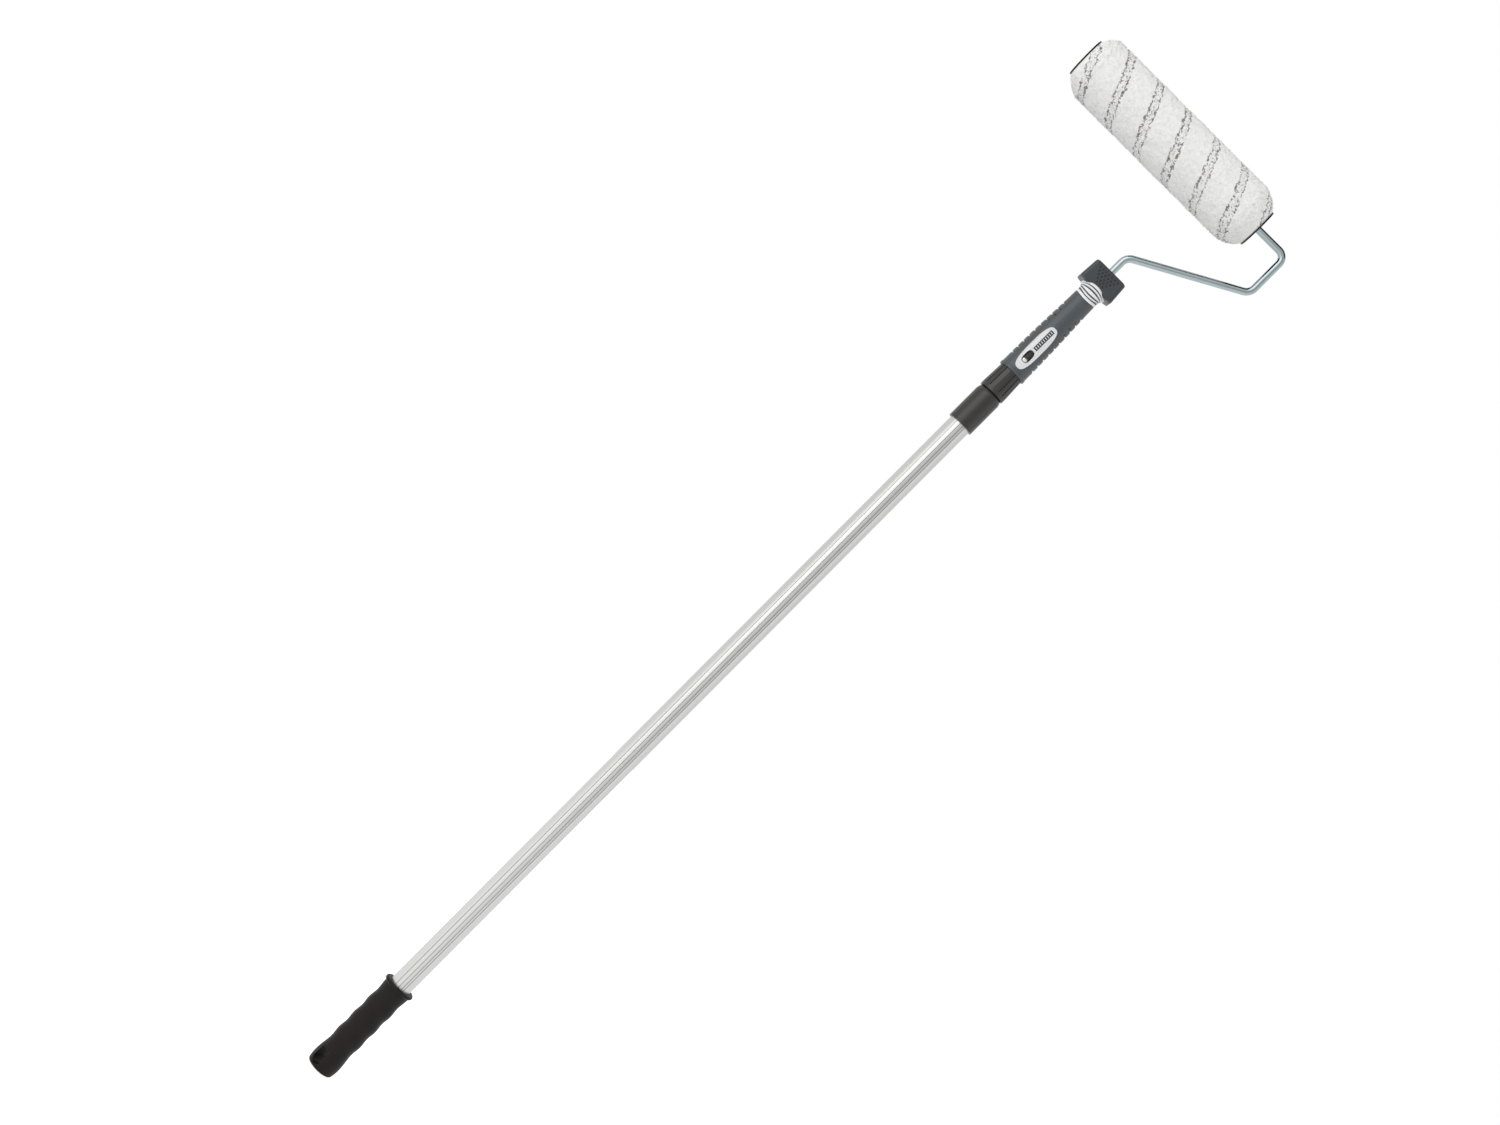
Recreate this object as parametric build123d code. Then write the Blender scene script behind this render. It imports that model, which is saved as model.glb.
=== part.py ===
from build123d import *
import math
import os

# Telescopic roller extension pole, collapsed, with a cage-less roller frame and a pile sleeve fitted to it.
# The origin is the centre of the hand grip's flat end. +Z runs up the pole, and the roller lies along X.

# ---- driving dimensions, in millimetres ----

# outer pole
tube_outer_radius = 12.5
tube_wall = 1.0
tube_bottom_z = 26.0
tube_length = 939.0
flute_depth = 0.35
flute_width = 0.8
flute_angles = (-24.0, -3.5, 14.0, 26.5)
flute_group_count = 3

grip_length = 118.0
grip_crest_wall = 3.1
grip_trough_wall = 2.1
grip_wave_pitch = 21.6
grip_first_crest_z = 44.0
grip_wave_count = 4
grip_end_rounding = 2.4
grip_lip_wall = 5.5
grip_lip_thickness = 4.4
hang_hole_width = 12.2
hang_hole_bottom_z = 3.3
hang_hole_top_z = 22.0
hang_hole_turn = -32.5

collar_wall = 2.35
collar_mouth_wall = 0.5
collar_length = 44.7
collar_shoulder_length = 5.5
collar_overlap = 35.7
collar_lip_thickness = 2.0
bush_length = 7.0

# inner pole
inner_tube_wall = 1.0
tube_gap = 0.5
inner_tube_bottom_z = 92.0
running_clearance = 0.08
face_gap = 0.3
pole_stack_gap = 0.5

# twist lock
spindle_shaft_radius = 4.0
spindle_flange_thickness = 3.0
spindle_plug_length = 38.0
collet_length = 30.0
collet_slot_width = 1.6
collet_slot_count = 3
collet_slot_length = 22.0
cone_length = 24.0
cone_base_height = 6.0
cone_bore_gap = 1.1
cone_rim_width = 1.6
cone_nose_wall = 2.6
cone_wall_gap = 0.12
cone_key_width = 1.2
cone_travel = 1.5
drag_ring_section_radius = 1.0
washer_overhang = 3.5
washer_thickness = 1.2
screw_shank_radius = 1.75
screw_head_overhang = 1.85
screw_head_height = 2.6

# adapter between the inner tube and the frame's handle
adapter_foot_wall = 3.95
adapter_top_wall = 2.9
adapter_height = 29.1
adapter_rim_height = 4.2
adapter_rib_count = 15
adapter_groove_width = 1.1
adapter_groove_depth = 0.8
adapter_groove_turn = -6.8
adapter_web_height = 5.6
plug_radius = 9.5
plug_wall = 2.4
plug_length = 70.0
rivet_radius = 2.0
rivet_head_overhang = 1.6
rivet_head_height = 1.0

# snap button
button_width = 6.4
button_height = 5.0
button_seat_gap = 0.3
button_flange_overhang = 0.7
button_flange_thickness = 1.2
button_travel = 4.0
button_sink = 0.1
button_dome_share = 0.38
leaf_width = 5.0
leaf_thickness = 0.6
leaf_length = 34.0
leaf_bend_radius = 1.0
leaf_back_gap = 0.02

# roller frame handle, whose skin is (height above the handle's foot, thickness at the sides, at the front)
lower_skin = (
    (0.0, 3.6, 2.8),
    (38.4, 3.0, 2.4),
    (71.4, 1.9, 1.5),
)
neck_skin = (
    (93.4, 3.4, 2.9),
    (106.5, 3.1, 2.5),
    (112.5, 3.0, 2.4),
    (115.0, 3.3, 2.6),
    (116.5, 4.2, 3.1),
    (118.2, 6.1, 3.9),
)
handle_length = 144.7
head_bottom = 118.0
head_bottom_side_skin = 12.1
head_top_side_skin = 10.4
head_front_skin = 4.6
head_corner_radius = 3.6
head_rim_radius = 3.4
# white ribs round the neck, as heights above the handle's foot:
# (lower edge at the sides, and in the middle, upper edge in the middle, and at the sides)
neck_ribs = (
    (106.8, 104.2, 107.0, 109.8),
    (111.7, 108.2, 110.0, 112.8),
    (114.1, 111.7, 114.9, 114.4),
    (115.0, 116.7, 118.4, 116.2),
    (116.4, 119.8, 122.4, 118.2),
)
neck_rib_reach = 13.4
core_wall = 2.4
core_neck_wall = 5.6
core_neck_start = 80.0
core_step_length = 7.0
core_end_inset = 1.0
plug_fit_gap = 0.1
notch_count = 10
notch_pitch = 8.0
first_notch = 16.4
notch_width = 1.0
notch_depth = 1.2
badge_length = 55.6
badge_width = 16.3
badge_centre = 33.9
badge_squareness = 2.5
badge_point_count = 24
window_length = 15.0
window_width = 8.4
window_centre = 22.0

# wire frame and roller
wire_radius = 4.0
wire_anchor_depth = 60.0
wire_bend_radius = 12.0
wire_roller_bend_radius = 10.0
wire_first_corner = 22.5
wire_side_reach = 40.7
wire_rise = 63.3
wire_last_rise = 52.3
roller_length = 249.3
roller_overhang = 174.7
pile_depth = 13.7
pile_end_depth = 1.0
pile_end_length = 16.0
core_tube_radius = 22.0
core_tube_wall = 2.5
cap_overhang = 0.2
cap_thickness = 1.6
cap_skirt_length = 14.0
cap_skirt_wall = 2.0
hub_wall = 3.0
hub_length = 18.0
hub_bush_wall = 1.92
hub_bush_length = 12.0
clip_width = 2.4
clip_pocket_gap = 1.2
clip_thickness = 1.0
stop_ring_width = 3.0
stop_ring_length = 3.0
wire_end_gap = 2.2

# ---- places that follow from them ----

tube_bore_radius = tube_outer_radius - tube_wall
tube_top_z = tube_bottom_z + tube_length
grip_crest_radius = tube_outer_radius + grip_crest_wall
grip_trough_radius = tube_outer_radius + grip_trough_wall
grip_lip_radius = tube_outer_radius + grip_lip_wall
collar_outer_radius = tube_outer_radius + collar_wall
collar_mouth_radius = tube_outer_radius + collar_mouth_wall
inner_tube_radius = tube_bore_radius - tube_gap
inner_bore_radius = inner_tube_radius - inner_tube_wall
adapter_bottom_radius = inner_tube_radius + adapter_foot_wall
adapter_top_radius = inner_tube_radius + adapter_top_wall
rivet_head_radius = rivet_radius + rivet_head_overhang
button_flange_radius = button_width / 2 + button_flange_overhang
button_proud = button_travel - button_sink
core_radius = plug_radius + plug_fit_gap + core_wall
core_neck_radius = wire_radius + core_neck_wall
collar_bottom_z = tube_top_z - collar_overlap
collar_top_z = collar_bottom_z + collar_length
adapter_z = collar_top_z + pole_stack_gap
handle_z = adapter_z + adapter_height
inner_tube_top_z = handle_z - adapter_web_height
button_z = handle_z + window_centre - window_length / 2 + button_seat_gap + button_height / 2
handle_top_z = handle_z + handle_length
wire_corner_z = handle_top_z + wire_first_corner
roller_z = wire_corner_z + wire_rise + wire_last_rise
roller_outer_x = -roller_overhang
roller_inner_x = roller_outer_x + roller_length
wire_offset = roller_inner_x + wire_side_reach
cap_outer_x = roller_outer_x + cap_thickness
cap_inner_x = roller_inner_x - cap_thickness
core_bore_radius = core_tube_radius - core_tube_wall
pile_radius = core_tube_radius + pile_depth
pile_end_radius = core_tube_radius + pile_end_depth
cap_radius = core_tube_radius + cap_overhang
hub_bush_radius = wire_radius + running_clearance + hub_bush_wall
hub_radius = hub_bush_radius + hub_wall
clip_radius = wire_radius + clip_width
cap_pocket_radius = clip_radius + clip_pocket_gap
stop_ring_radius = wire_radius + stop_ring_width
wire_end_x = cap_outer_x + wire_end_gap
collet_top_z = inner_tube_bottom_z - spindle_flange_thickness - face_gap
collet_bottom_z = collet_top_z - collet_length
cone_base_radius = tube_bore_radius - cone_bore_gap
cone_wide_radius = cone_base_radius - cone_rim_width
cone_narrow_radius = spindle_shaft_radius + cone_nose_wall
washer_radius = spindle_shaft_radius + washer_overhang
screw_head_radius = screw_shank_radius + screw_head_overhang
cone_bottom_z = collet_bottom_z - cone_base_height - cone_travel * 2
screw_seat_z = cone_bottom_z - cone_travel - washer_thickness - face_gap * 2
head_depth = 2 * (core_neck_radius + head_front_skin)
head_bottom_width = 2 * (core_neck_radius + head_bottom_side_skin)
head_top_width = 2 * (core_neck_radius + head_top_side_skin)
UP = (Align.CENTER, Align.CENTER, Align.MIN)


def ring(outer, inner, bottom, height):
    """A straight ring about the Z axis."""
    wall = Cylinder(outer, height, align=UP) - Cylinder(inner, height, align=UP)
    return Pos(0, 0, bottom) * wall


def disc(radius, bottom, height):
    """A straight round bar about the Z axis."""
    return Pos(0, 0, bottom) * Cylinder(radius, height, align=UP)


def turned(outline):
    """Turns a closed outline in the XZ plane about the Z axis."""
    return revolve(make_face(Plane.XZ * outline), Axis.Z)


def on_roller(solid, x):
    """Lays a solid made about Z along the roller's axis, with its foot at x and its top towards +X."""
    return Pos(x, 0, roller_z) * Rot(0, 90, 0) * solid


# ---- outer pole ----


def make_end_grip():
    """Hand grip turned to a wavy outline, with a flared lip and a hole to hang it by."""
    half_pitch = grip_wave_pitch / 2
    waves = []
    for step in range(-1, 2 * grip_wave_count - 1):
        radius = grip_crest_radius if step % 2 == 0 else grip_trough_radius
        waves.append((radius, grip_first_crest_z + step * half_pitch))
    lip_rounding = grip_lip_thickness / 2
    lip_foot = (grip_lip_radius - lip_rounding, grip_length - grip_lip_thickness)
    lip_top = (grip_lip_radius - lip_rounding, grip_length)
    lip_crown = (grip_lip_radius, grip_length - lip_rounding)
    flat_radius = grip_crest_radius - grip_end_rounding
    rounding = grip_end_rounding * (1 - math.sqrt(0.5))
    mid_edge = (grip_crest_radius - rounding, rounding)
    side_start = (grip_crest_radius, grip_end_rounding)
    outline = (
        Line((0, 0), (flat_radius, 0))
        + ThreePointArc((flat_radius, 0), mid_edge, side_start)
        + Spline(side_start, (grip_crest_radius, hang_hole_top_z), *waves, lip_foot)
        + ThreePointArc(lip_foot, lip_crown, lip_top)
        + Polyline(lip_top, (0, grip_length), (0, 0))
    )
    body = turned(outline)
    socket = disc(tube_outer_radius, tube_bottom_z, grip_length)
    hole_radius = hang_hole_width / 2
    hole_centre_z = hang_hole_bottom_z + hole_radius
    square_height = hang_hole_top_z - hole_centre_z
    hole = Pos(0, hole_centre_z) * Circle(hole_radius)
    hole += Pos(0, hole_centre_z + square_height / 2) * Rectangle(hang_hole_width, square_height)
    through = extrude(Plane.XZ * hole, grip_lip_radius, both=True)
    return body - socket - Rot(0, 0, hang_hole_turn) * through


def make_outer_tube():
    """Extruded tube with fine flutes in equal groups round it."""
    tube = ring(tube_outer_radius, tube_bore_radius, tube_bottom_z, tube_length)
    flute = Pos(0, -tube_outer_radius, tube_bottom_z) * Box(
        flute_width, 2 * flute_depth, tube_length, align=UP
    )
    for group in range(flute_group_count):
        for angle in flute_angles:
            tube -= Rot(0, 0, angle + group * 360 / flute_group_count) * flute
    return tube


def make_outer_collar():
    """Collar over the tube's end, with a tapered shoulder and a lip over the guide bush."""
    shoulder_z = collar_top_z - collar_shoulder_length
    shoulder_middle = (collar_mouth_radius + (collar_outer_radius - collar_mouth_radius) * 0.68,)
    shoulder_middle += ((shoulder_z + collar_top_z) / 2,)
    shoulder = ThreePointArc(
        (collar_outer_radius, shoulder_z), shoulder_middle, (collar_mouth_radius, collar_top_z)
    )
    outline = Polyline((0, collar_bottom_z), (collar_outer_radius, collar_bottom_z), shoulder @ 0)
    outline = outline + shoulder + Polyline(shoulder @ 1, (0, collar_top_z), (0, collar_bottom_z))
    body = turned(outline)
    seat_length = collar_length - collar_lip_thickness
    body -= disc(tube_outer_radius, collar_bottom_z, seat_length)
    return body - disc(tube_bore_radius, collar_bottom_z, collar_length)


def make_guide_bush():
    """Guide ring between the tube's end and the collar's lip, in which the inner tube runs."""
    return ring(tube_outer_radius, inner_tube_radius + running_clearance, tube_top_z, bush_length)


# ---- twist lock ----


def collet_cone(gap):
    """The taper that the cone and the collet share, widened by a gap."""
    taper_height = cone_length - cone_base_height
    taper = Cone(cone_wide_radius + gap, cone_narrow_radius + gap, taper_height, align=UP)
    return Pos(0, 0, cone_bottom_z + cone_base_height) * taper


def make_lock_collet():
    """Split sleeve with a tapered bore, and a groove for the drag ring near its top."""
    outer_radius = tube_bore_radius - running_clearance
    sleeve = ring(outer_radius, spindle_shaft_radius + face_gap, collet_bottom_z, collet_length)
    sleeve -= collet_cone(cone_wall_gap)
    sleeve -= disc(cone_wide_radius + cone_wall_gap, collet_bottom_z - 1, 1 + cone_travel)
    slot = Pos(0, 0, collet_bottom_z) * Box(
        outer_radius * 2, collet_slot_width, collet_slot_length, align=(Align.MIN, Align.CENTER, Align.MIN)
    )
    for number in range(collet_slot_count):
        sleeve -= Rot(0, 0, number * 360 / collet_slot_count) * slot
    groove_radius = outer_radius - 2 * drag_ring_section_radius
    groove_height = 2 * drag_ring_section_radius
    return sleeve - ring(outer_radius + 1, groove_radius, drag_ring_z() - groove_height / 2, groove_height)


def drag_ring_z():
    """Height of the drag ring's middle, in the uncut part of the collet."""
    return collet_top_z - (collet_length - collet_slot_length) / 2


def make_drag_ring():
    """Rubber ring that drags on the tube's bore."""
    centre_radius = tube_bore_radius - running_clearance - drag_ring_section_radius
    return Pos(0, 0, drag_ring_z()) * Torus(centre_radius, drag_ring_section_radius)


def make_lock_cone():
    """Cone nut with keys that run in the collet's slots."""
    cone = disc(cone_base_radius, cone_bottom_z, cone_base_height) + collet_cone(0)
    key_height = cone_length - cone_base_height
    key = Pos(0, 0, cone_bottom_z + cone_base_height) * Box(
        cone_base_radius, cone_key_width, key_height, align=(Align.MIN, Align.CENTER, Align.MIN)
    )
    for number in range(collet_slot_count):
        cone += Rot(0, 0, number * 360 / collet_slot_count) * key
    return cone - disc(spindle_shaft_radius + running_clearance, cone_bottom_z, cone_length)


def make_lock_spindle():
    """Plug in the inner tube's end, with a flange below it and the shaft that carries the lock."""
    flange_z = inner_tube_bottom_z - spindle_flange_thickness
    spindle = disc(inner_bore_radius, inner_tube_bottom_z, spindle_plug_length)
    spindle += disc(inner_tube_radius, flange_z, spindle_flange_thickness)
    spindle += disc(spindle_shaft_radius, screw_seat_z + washer_thickness, flange_z - screw_seat_z)
    return spindle - disc(screw_shank_radius, screw_seat_z, cone_length)


def make_spindle_washer():
    """Washer under the spindle's screw, which stops the cone from running off."""
    return ring(washer_radius, screw_shank_radius, screw_seat_z, washer_thickness)


def make_spindle_screw():
    """Pan-head screw in the spindle's end."""
    head = disc(screw_head_radius, screw_seat_z - screw_head_height, screw_head_height)
    head = fillet(head.edges().sort_by(Axis.Z)[0], screw_head_height * 0.4)
    return head + disc(screw_shank_radius, screw_seat_z, cone_length)


# ---- inner pole ----


def make_inner_tube():
    """Plain tube that slides in the outer one."""
    length = inner_tube_top_z - inner_tube_bottom_z
    tube = ring(inner_tube_radius, inner_bore_radius, inner_tube_bottom_z, length)
    return tube - rivet_shank(rivet_radius)


def rivet_shank(radius):
    """The rivet's shank, through the back wall of the ferrule and the tube."""
    depth = adapter_bottom_radius - inner_bore_radius
    shank = Cylinder(radius, depth, align=UP)
    return Pos(0, inner_bore_radius, rivet_z()) * Rot(-90, 0, 0) * shank


def rivet_z():
    """Height of the rivet, in the middle of the tube's seat in the ferrule."""
    return (adapter_z + adapter_rim_height + inner_tube_top_z) / 2


def make_adapter():
    """Ribbed ferrule on the inner tube, with the hollow plug that goes up into the handle."""
    taper_height = adapter_height - adapter_rim_height
    body = disc(adapter_bottom_radius, adapter_z, adapter_rim_height)
    rim_top_z = adapter_z + adapter_rim_height
    body += Pos(0, 0, rim_top_z) * Cone(adapter_bottom_radius, adapter_top_radius, taper_height, align=UP)
    lean = math.degrees(math.atan2(adapter_bottom_radius - adapter_top_radius, taper_height))
    groove = Pos(0, -adapter_bottom_radius, rim_top_z) * Rot(-lean, 0, 0) * Box(
        adapter_groove_width, 2 * adapter_groove_depth, 2 * taper_height, align=UP
    )
    for number in range(adapter_rib_count):
        body -= Rot(0, 0, adapter_groove_turn + number * 360 / adapter_rib_count) * groove
    body += disc(plug_radius, handle_z, plug_length)
    body -= disc(inner_tube_radius, adapter_z, adapter_height - adapter_web_height)
    body -= disc(plug_radius - plug_wall, handle_z, plug_length)
    body -= button_bar(running_clearance, plug_radius * 2)
    return body - rivet_shank(rivet_radius)


def make_adapter_rivet():
    """Blind rivet through the ferrule and the tube, with a low domed head."""
    head = Cylinder(rivet_head_radius, rivet_head_height, align=UP)
    head = fillet(head.edges().sort_by(Axis.Z)[-1], rivet_head_height * 0.6)
    return rivet_shank(rivet_radius) + Pos(0, adapter_bottom_radius, rivet_z()) * Rot(-90, 0, 0) * head


def make_lock_button():
    """Domed snap button with a flange behind the plug's wall, standing out through the window."""
    flange_y = flange_front_y()
    stem_length = plug_radius + button_proud + flange_y
    stem = Pos(0, flange_y, 0) * button_bar(0, stem_length)
    stem = fillet(stem.faces().sort_by(Axis.Y)[0].edges(), button_height * button_dome_share)
    flange = Cylinder(button_flange_radius, button_flange_thickness, align=UP)
    return stem + Pos(0, flange_y, button_z) * Rot(-90, 0, 0) * flange


def button_bar(gap, length):
    """A bar of the button's round-ended section, widened by a gap, run towards the front."""
    section = SlotOverall(button_width + 2 * gap, button_height + 2 * gap)
    return Pos(0, 0, button_z) * extrude(Plane.XZ * section, length)


def flange_front_y():
    """Where the button's flange clears the round wall of the plug's bore."""
    bore_radius = plug_radius - plug_wall
    return -math.sqrt(bore_radius**2 - button_flange_radius**2) + face_gap


def make_button_spring():
    """Leaf bent to a V: one leg behind the button's flange and one along the back of the plug's bore."""
    bore_radius = plug_radius - plug_wall
    back_y = math.sqrt(bore_radius**2 - (leaf_width / 2) ** 2) - leaf_thickness / 2 - leaf_back_gap
    front_y = flange_front_y() + button_flange_thickness + leaf_thickness / 2
    top_z = button_z + leaf_length
    path = FilletPolyline(
        (front_y, button_z - button_flange_radius),
        (front_y, button_z + button_flange_radius),
        (back_y - 4 * leaf_thickness, top_z),
        (back_y, top_z),
        (back_y, button_z - button_flange_radius),
        radius=leaf_bend_radius,
    )
    strip = Plane.YZ * trace(path, leaf_thickness)
    return extrude(strip, leaf_width / 2, both=True)


# ---- roller frame ----


def handle_sections():
    """The handle's cross-sections: (height above its foot, half its width, half its depth)."""
    sections = []
    for core, skins in ((core_radius, lower_skin), (core_neck_radius, neck_skin)):
        sections += [(height, core + side, core + front) for height, side, front in skins]
    return sections


def handle_envelope():
    """The handle's whole outside: a tapering oval grip, a waist and a wide square head."""
    ovals = []
    for height, side, front in handle_sections():
        ovals.append(Pos(0, 0, handle_z + height) * Ellipse(side, front))
    grip = loft(ovals, ruled=True)
    outline = make_face(
        Polyline(
            (-head_bottom_width / 2, handle_z + head_bottom),
            (head_bottom_width / 2, handle_z + head_bottom),
            (head_top_width / 2, handle_top_z),
            (-head_top_width / 2, handle_top_z),
            close=True,
        )
    )
    outline = fillet(outline.vertices(), head_corner_radius)
    head = extrude(Plane.XZ * outline, head_depth / 2, both=True)
    rims = head.faces().sort_by(Axis.Y)[0].edges() + head.faces().sort_by(Axis.Y)[-1].edges()
    return grip + fillet(rims, head_rim_radius)


def neck_rib(side_low, middle_low, middle_high, side_high):
    """A curved rib seen from the front, cut through the neck from front to back."""
    left, right = -neck_rib_reach, neck_rib_reach
    low_left, low_right = (left, handle_z + side_low), (right, handle_z + side_low)
    high_left, high_right = (left, handle_z + side_high), (right, handle_z + side_high)
    lower_edge = ThreePointArc(low_left, (0, handle_z + middle_low), low_right)
    upper_edge = ThreePointArc(high_right, (0, handle_z + middle_high), high_left)
    outline = make_face(lower_edge + Line(low_right, high_right) + upper_edge + Line(high_left, low_left))
    return extrude(Plane.XZ * outline, head_depth, both=True)


def badge_prism(front_y):
    """The badge's squarish oval, run from the handle's middle out through its front."""
    points = []
    for number in range(badge_point_count):
        angle = 2 * math.pi * (number + 0.5) / badge_point_count
        across = math.copysign(abs(math.cos(angle)) ** (2 / badge_squareness), math.cos(angle))
        along = math.copysign(abs(math.sin(angle)) ** (2 / badge_squareness), math.sin(angle))
        points.append((across * badge_width / 2, handle_z + badge_centre + along * badge_length / 2))
    oval = make_face(Spline(*points, periodic=True))
    return extrude(Plane.XZ * oval, front_y)


def window_prism():
    """The round-ended window that the snap button stands in."""
    slot = Pos(0, handle_z + window_centre) * Rot(0, 0, 90) * SlotOverall(window_length, window_width)
    return extrude(Plane.XZ * slot, head_depth)


def core_blank():
    """The round core: wide over the plug, then stepped down through the neck."""
    foot = disc(core_radius, handle_z, core_neck_start)
    step = Pos(0, 0, handle_z + core_neck_start) * Cone(
        core_radius, core_neck_radius, core_step_length, align=UP
    )
    neck_start = core_neck_start + core_step_length
    neck = disc(core_neck_radius, handle_z + neck_start, handle_length - neck_start - core_end_inset)
    return foot + step + neck


def make_handle_core(envelope):
    """Hard core with the ribs that come through the skin at the neck, bored for the plug and the wire."""
    core = core_blank()
    for heights in neck_ribs:
        core += envelope & neck_rib(*heights)
    core -= disc(plug_radius + plug_fit_gap, handle_z, plug_length + face_gap)
    core -= disc(wire_radius, handle_z, handle_length)
    return core - window_prism()


def make_handle_grip(envelope):
    """Soft skin moulded round the core, with an oval opening for the badge and notches down both sides."""
    skin = envelope - core_blank() - disc(wire_radius, handle_z, handle_length + 1)
    for heights in neck_ribs:
        skin -= neck_rib(*heights)
    skin -= badge_prism(head_depth)
    for number in range(notch_count):
        notch_z = handle_z + first_notch + number * notch_pitch
        reach = handle_reach_at(first_notch + number * notch_pitch)
        for side in (-1, 1):
            skin -= Pos(side * reach, 0, notch_z) * Box(2 * notch_depth, head_depth / 2, notch_width)
    return skin


def handle_reach_at(height):
    """Half the grip's width at a height, between its nearest two sections."""
    sections = handle_sections()
    for (low, low_reach, _), (high, high_reach, _) in zip(sections, sections[1:]):
        if low <= height <= high:
            return low_reach + (high_reach - low_reach) * (height - low) / (high - low)
    return sections[-1][1]


def make_release_bezel(envelope):
    """Oval plate in the handle's front, with the window cut through it."""
    plate = badge_prism(head_depth) & envelope
    return plate - core_blank() - window_prism()


def make_frame_wire():
    """One bent rod: up from the handle, out to the side, up again and along the roller's axis."""
    route = FilletPolyline(
        (0, handle_top_z - wire_anchor_depth),
        (0, wire_corner_z),
        (wire_offset, wire_corner_z + wire_rise),
        (wire_offset, roller_z),
        (wire_end_x, roller_z),
        radius=(wire_bend_radius, wire_bend_radius, wire_roller_bend_radius),
    )
    route = Plane.XZ * route
    start = Plane(origin=route @ 0, z_dir=route % 0)
    return sweep(start * Circle(wire_radius), path=route)


def make_stop_ring():
    """Ring pressed on the axle against the inboard side of the outer hub."""
    ring_x = cap_outer_x + hub_length + face_gap
    return on_roller(ring(stop_ring_radius, wire_radius, 0, stop_ring_length), ring_x)


def make_axle_clip():
    """Retaining clip on the axle's end, in the pocket of the outer cap."""
    clip_x = cap_outer_x + hub_length - hub_bush_length - face_gap - clip_thickness
    return on_roller(ring(clip_radius, wire_radius, 0, clip_thickness), clip_x)


# ---- roller ----


def make_roller_core():
    """Tube that the pile is bonded to."""
    return on_roller(ring(core_tube_radius, core_bore_radius, 0, cap_inner_x - cap_outer_x), cap_outer_x)


def make_pile_sleeve():
    """Pile round the core, with both ends rounded down to the caps."""
    length = cap_inner_x - cap_outer_x
    rise = pile_radius - pile_end_radius
    lean = math.sqrt(0.5)
    first_mid = (pile_end_radius + rise * lean, pile_end_length * (1 - lean))
    last_mid = (pile_end_radius + rise * lean, length - pile_end_length * (1 - lean))
    outline = (
        Line((core_tube_radius, 0), (pile_end_radius, 0))
        + ThreePointArc((pile_end_radius, 0), first_mid, (pile_radius, pile_end_length))
        + Line((pile_radius, pile_end_length), (pile_radius, length - pile_end_length))
        + ThreePointArc((pile_radius, length - pile_end_length), last_mid, (pile_end_radius, length))
        + Polyline((pile_end_radius, length), (core_tube_radius, length), (core_tube_radius, 0))
    )
    return on_roller(turned(outline), cap_outer_x)


def cap_body():
    """A cap about Z with its disc below z = 0 and its skirt, web and hub above."""
    cap = disc(cap_radius, -cap_thickness, cap_thickness)
    cap += ring(core_bore_radius, core_bore_radius - cap_skirt_wall, 0, cap_skirt_length)
    cap += disc(hub_radius, 0, hub_length)
    return cap - disc(hub_bush_radius, hub_length - hub_bush_length, hub_bush_length)


def make_end_cap_outer():
    """Closed cap at the roller's free end, with a pocket for the axle's clip."""
    pocket = disc(cap_pocket_radius, 0, hub_length - hub_bush_length)
    return on_roller(cap_body() - pocket, cap_outer_x)


def make_end_cap_inner():
    """Cap at the bent side, open for the wire."""
    opening = disc(wire_radius + pole_stack_gap, -cap_thickness, hub_length)
    return Pos(cap_inner_x, 0, roller_z) * Rot(0, -90, 0) * (cap_body() - opening)


def make_hub_bush(x):
    """Plain bearing in a cap's hub, running on the wire."""
    return on_roller(ring(hub_bush_radius, wire_radius + running_clearance, 0, hub_bush_length), x)


def make_parts():
    """Every node by name."""
    envelope = handle_envelope()
    return {
        "end_grip": make_end_grip(),
        "outer_tube": make_outer_tube(),
        "outer_collar": make_outer_collar(),
        "guide_bush": make_guide_bush(),
        "lock_collet": make_lock_collet(),
        "drag_ring": make_drag_ring(),
        "lock_cone": make_lock_cone(),
        "lock_spindle": make_lock_spindle(),
        "spindle_washer": make_spindle_washer(),
        "spindle_screw": make_spindle_screw(),
        "inner_tube": make_inner_tube(),
        "adapter": make_adapter(),
        "adapter_rivet": make_adapter_rivet(),
        "lock_button": make_lock_button(),
        "button_spring": make_button_spring(),
        "handle_core": make_handle_core(envelope),
        "handle_grip": make_handle_grip(envelope),
        "release_bezel": make_release_bezel(envelope),
        "frame_wire": make_frame_wire(),
        "stop_ring": make_stop_ring(),
        "axle_clip": make_axle_clip(),
        "roller_core": make_roller_core(),
        "pile_sleeve": make_pile_sleeve(),
        "end_cap_outer": make_end_cap_outer(),
        "end_cap_inner": make_end_cap_inner(),
        "hub_bush_outer": make_hub_bush(cap_outer_x + hub_length - hub_bush_length),
        "hub_bush_inner": make_hub_bush(cap_inner_x - hub_length),
    }


os.makedirs("parts", exist_ok=True)
for node, solid in make_parts().items():
    solid.label = node
    export_step(solid, f"parts/{node}.step")
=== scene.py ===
"""A paint roller on a telescopic extension pole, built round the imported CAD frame."""

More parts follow.
